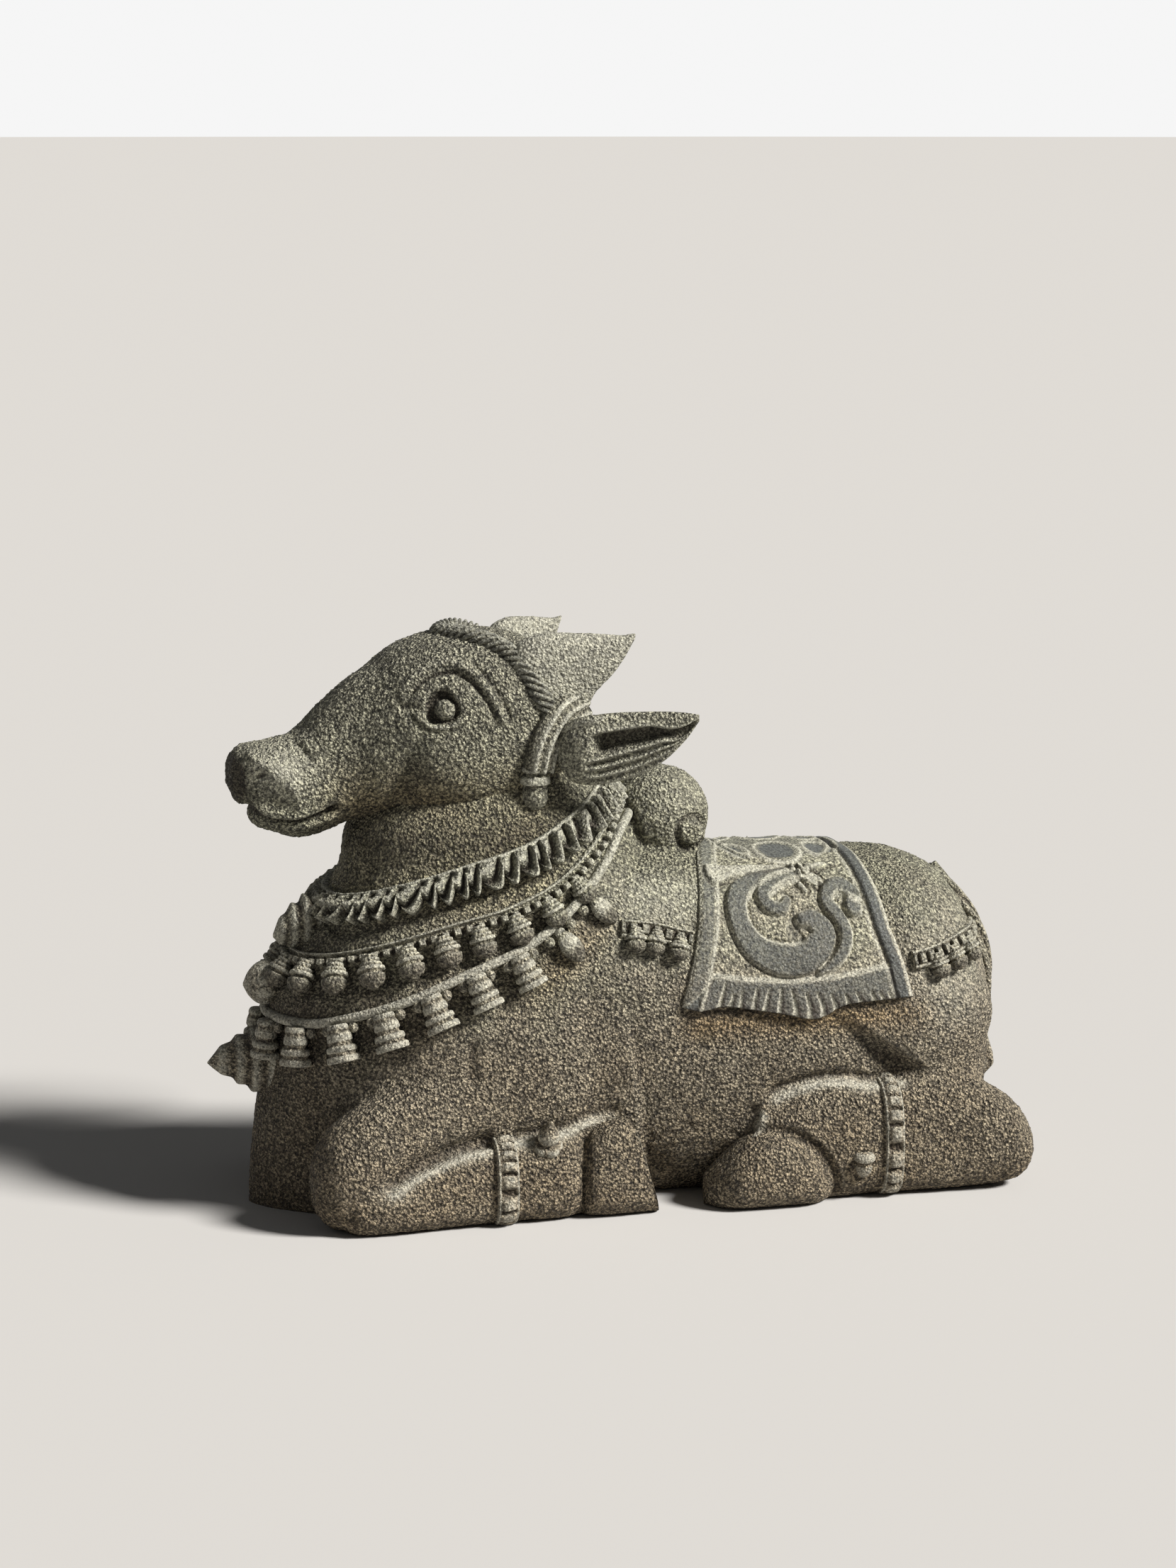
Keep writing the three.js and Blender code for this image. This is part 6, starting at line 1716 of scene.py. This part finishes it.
def anklet(table, low, high, side):
    """Ring round a leg: raised edges with square beads between them."""
    share = np.linspace(0, 1, 26)[:, None]
    turn = round_turns(360)
    place = low + (high - low) * share
    skin = leg(table, place, turn, side)
    x, top, bottom, _, out, _ = along(table, place)
    middle = np.stack([x, side * out, (top + bottom) / 2], -1)
    away = unit((skin - middle) * (0, 1, 1))
    rails = hill(share - 0.09, 0.07) + hill(share - 0.91, 0.07)
    phase = np.abs((turn * ANKLET_BEADS / (2 * np.pi)) % 1 - 0.5) * 2
    between = ease(0.5 - np.abs(share - 0.5), 0.16, 0.24)
    bead = np.sqrt(np.clip(1 - (phase / 0.8) ** 4, 0, 1)) * np.clip(1 - ((share - 0.5) / 0.38) ** 4, 0, 1)
    lift = 0.5 + 1.5 * rails + 3.0 * bead
    lift = np.where((share == 0) | (share == 1), -1.0, lift)
    rings = skin + away * lift[..., None]
    set_down(rings.reshape(-1, 3))
    # Painted shade between the beads.
    dirt_and_shade = 0.85 * between * (1 - ease(bead, 0.1, 0.5))
    tone = tones(0.85 * rails * (1 - bead) + 0.7 * bead ** 2, 0, 0, dirt_and_shade)
    inner = (skin - away * 4)[[-1, 0]]
    inner[..., 2] = np.maximum(inner[..., 2], 1)
    return Shell.of_rings(np.concatenate([rings, inner]), True, np.concatenate([tone, tone[[-1, 0]]]))


def fore_hoof(side):
    """Hoof of the folded fore leg: a wide shoe cut off slanting at the heel."""
    shell = loft(leg, FORE_HOOF, side, 60, 110)
    x, _, z = shell.points.T
    share = np.clip((x + 20) / 9.5, 0, 1)
    shell.points[:, 0] = x + 12 * share * (40 - z) / 40
    return shell


class CARVING_OT_trappings(bpy.types.Operator):
    """Girth, hip straps, anklets, hooves, buds and tail"""
    bl_idname = "carving.trappings"
    bl_label = "Straps, anklets and hooves"

    def execute(self, context):
        rough, dressed = finish_named("rough_granite"), finish_named("dressed_granite")
        for side, word in SIDES:
            girth = strap(GIRTH, 3.8, side, (0.2, 0.5, 0.84), 6)
            piece(f"girth_band_{word}", girth, dressed, "granite_rubbed", f"girth_strap_{word}")
            hip = strap(HIP, 3.9, side, (0.28, 0.5, 0.72), 9)
            piece(f"hip_band_{word}", hip, dressed, "granite_rubbed", f"hip_strap_{word}")
            for name, table, low, high in (("fore", FORE_SHANK, -69, -59.5), ("hind", HIND_SHANK, 97.5, 106)):
                ring = anklet(table, low, high, side)
                piece(f"{name}_ring_{word}", ring, dressed, "granite_rubbed", f"{name}_anklet_{word}")
            hoof = fore_hoof(side)
            lobe = loft(leg, HIND_HOOF, side, 70, 110)
            for name, form in (("fore", hoof), ("hind", lobe)):
                uneven(form, 10, 0.3, 41)
                set_down(form.points)
                pairs = pairs_of(form)
                wear_and_painted_light(form, pairs, 0.8)
                hammered(form, pairs, 0.15, 42)
                piece(f"{name}_shoe_{word}", form, rough, "granite", f"{name}_hoof_{word}")
            for name, profile, petals, spot, tilt in FLOWERS:
                flower = turned(eased(profile, 0.3), 48)
                if petals:
                    angle = np.arctan2(flower.points[:, 2], flower.points[:, 0])
                    wedge = np.abs(np.cos(petals / 2 * angle)) ** 0.6
                    open_part = 1 - ease(flower.points[:, 1], -4, -2)
                    flower.points *= (1 - open_part * 0.2 * (1 - wedge))[:, None] * (1, 0, 1) + (0, 1, 0)
                wear_and_painted_light(flower, pairs_of(flower), 0.8, 0.03, 0.4)
                up = (0, side * sin(tilt), cos(tilt))
                basis = np.array([[(1, 0, 0), up, np.cross((1, 0, 0), up)]])
                flower = repeated(flower, [(spot[0], side * spot[1], spot[2])], basis, 1.0)
                piece(f"{name}_flower_{word}", flower, dressed, "granite_rubbed", f"{name}_bud_{word}")
        line = smooth(TAIL, 260)
        share = np.linspace(0, 1, 260)
        radius = 4.4 + 1.6 * ease(share, 0.8, 0.9) - 5.4 * ease(share, 0.93, 1.001)
        tail = twisted(line, np.tile((0.0, 1.0, 0.0), (260, 1)), np.maximum(radius, 0.4), 5, 4, tone=0.4)
        piece("tail_cord", tail, rough, "granite", "tail")
        return {"FINISHED"}


# Stage

# Picture, in pixels: its middle, the place where the camera's aim shows, and the focal length.
MIDDLE_X, MIDDLE_Y = 829.5, 1106
AIM_X, AIM_Y = 874, 1325
FOCAL = 5666.7
AIM_OFF = ((AIM_X - MIDDLE_X) / FOCAL, -(AIM_Y - MIDDLE_Y) / FOCAL)
# Height of the aim in metres, then lens and sensor in millimetres.
AIM_HEIGHT = 0.103
LENS, SENSOR = 92.2, 36
KEY_WAY = (-0.75, 0.55, -0.75)
KEY_COLOUR = (1, 0.97, 0.93)
FLOOR_COLOUR = (0.51, 0.502, 0.49, 1)
FLOOR_CORNERS = 64
BACKGROUND = 0.92


class StageSizes(bpy.types.PropertyGroup):
    floor_size: length_property("Floor", "Width of the round floor", 80.0)
    key_power: bpy.props.FloatProperty(name="Key light", description="Strength of the key light", default=6.8)
    key_softness: angle_property("Key softness", "Angle that the key light fills", radians(14))
    sky: bpy.props.FloatProperty(name="Fill light", description="Strength of the light from all round",
                                 default=0.1)
    distance: length_property("Camera distance", "From the camera to the bull", 1.7)
    azimuth: angle_property("Camera azimuth", "Turn round the bull", radians(-15))
    elevation: angle_property("Camera elevation", "Height over the floor", radians(12))


def lay_floor(scene, values):
    """Round pale floor without shine."""
    mesh = bpy.data.meshes.new("floor")
    turn = round_turns(FLOOR_CORNERS)
    rim = np.stack([np.cos(turn), np.sin(turn), 0 * turn], -1) * values.floor_size / 2
    mesh.from_pydata(rim.tolist(), [], [tuple(range(FLOOR_CORNERS))])
    floor = bpy.data.objects.new("floor", mesh)
    scene.collection.objects.link(floor)
    paint = bpy.data.materials.new("pale_floor")
    paint.use_nodes = True
    shader = paint.node_tree.nodes["Principled BSDF"]
    shader.inputs["Base Color"].default_value = FLOOR_COLOUR
    shader.inputs["Roughness"].default_value = 1.0
    shader.inputs["Specular IOR Level"].default_value = 0.0
    mesh.materials.append(paint)


def light(scene, values):
    """Even light from all round, brighter where the camera sees the background, and one soft sun."""
    world = bpy.data.worlds.new("studio")
    world.use_nodes = True
    scene.world = world
    tree = world.node_tree
    background = tree.nodes["Background"]
    path = tree.nodes.new("ShaderNodeLightPath")
    seen = maths(tree, "MAXIMUM", path.outputs["Is Camera Ray"], path.outputs["Is Glossy Ray"])
    seen = maths(tree, "MAXIMUM", seen, path.outputs["Is Transmission Ray"])
    level = maths(tree, "MULTIPLY_ADD", seen, BACKGROUND - values.sky, values.sky)
    link(tree, level, background.inputs["Strength"])
    background.inputs["Color"].default_value = (1, 1, 1, 1)
    key = bpy.data.lights.new("key", "SUN")
    key.energy, key.angle, key.color = values.key_power, values.key_softness, KEY_COLOUR
    lamp = bpy.data.objects.new("key", key)
    lamp.rotation_euler = Vector(KEY_WAY).to_track_quat("-Z", "Y").to_euler()
    scene.collection.objects.link(lamp)


def set_camera(scene, values):
    """Camera at a distance from the aim, turned so that the aim shows at its place in the picture."""
    camera = bpy.data.cameras.new("camera")
    camera.sensor_width = SENSOR
    camera.sensor_fit = "AUTO"
    camera.lens = LENS
    holder = bpy.data.objects.new("camera", camera)
    az, el = values.azimuth, values.elevation
    back = Vector((sin(az) * cos(el), -cos(az) * cos(el), sin(el)))
    aim = Vector((SHIFT * 0.001, 0, AIM_HEIGHT))
    holder.location = aim + back * values.distance
    right = Vector((cos(az), sin(az), 0))
    way = Matrix.Rotation(atan(AIM_OFF[0]), 3, "Z") @ -back
    way = Matrix.Rotation(-atan(AIM_OFF[1]), 3, right) @ way
    holder.rotation_euler = way.to_track_quat("-Z", "Y").to_euler()
    scene.collection.objects.link(holder)
    scene.camera = holder


class CARVING_OT_stage(bpy.types.Operator):
    """Pale floor, soft lights, white background and the camera"""
    bl_idname = "carving.stage"
    bl_label = "Stage"

    def execute(self, context):
        scene, values = context.scene, context.scene.stage_sizes
        lay_floor(scene, values)
        light(scene, values)
        set_camera(scene, values)
        scene.view_settings.view_transform = "Standard"
        return {"FINISHED"}


OPERATORS = (
    CARVING_OT_body, CARVING_OT_head, CARVING_OT_head_dress, CARVING_OT_necklaces, CARVING_OT_pendants,
    CARVING_OT_cloth, CARVING_OT_trappings, CARVING_OT_stage,
)
GROUPS = (
    ("body_sizes", BodySizes), ("dress_sizes", DressSizes), ("granite_colours", GraniteColours),
    ("stage_sizes", StageSizes),
)


class CARVING_PT_panel(bpy.types.Panel):
    """Buttons and sizes of the granite bull"""
    bl_label = "Granite bull"
    bl_idname = "CARVING_PT_panel"
    bl_space_type = "VIEW_3D"
    bl_region_type = "UI"
    bl_category = "Granite bull"

    def draw(self, context):
        for operator in OPERATORS:
            self.layout.operator(operator.bl_idname)
        for name, group in GROUPS:
            box = self.layout.box()
            for key in group.__annotations__:
                box.prop(getattr(context.scene, name), key)


def register():
    for name, group in GROUPS:
        bpy.utils.register_class(group)
        setattr(bpy.types.Scene, name, bpy.props.PointerProperty(type=group))
    for item in (*OPERATORS, CARVING_PT_panel):
        bpy.utils.register_class(item)


def unregister():
    for item in (CARVING_PT_panel, *reversed(OPERATORS)):
        bpy.utils.unregister_class(item)
    for name, group in reversed(GROUPS):
        delattr(bpy.types.Scene, name)
        bpy.utils.unregister_class(group)


def main():
    """Build everything through the operators."""
    register()
    for operator in OPERATORS:
        group, name = operator.bl_idname.split(".")
        if getattr(getattr(bpy.ops, group), name)() != {"FINISHED"}:
            raise RuntimeError(operator.bl_idname)
    bpy.context.view_layer.update()


if __name__ == "__main__":
    main()
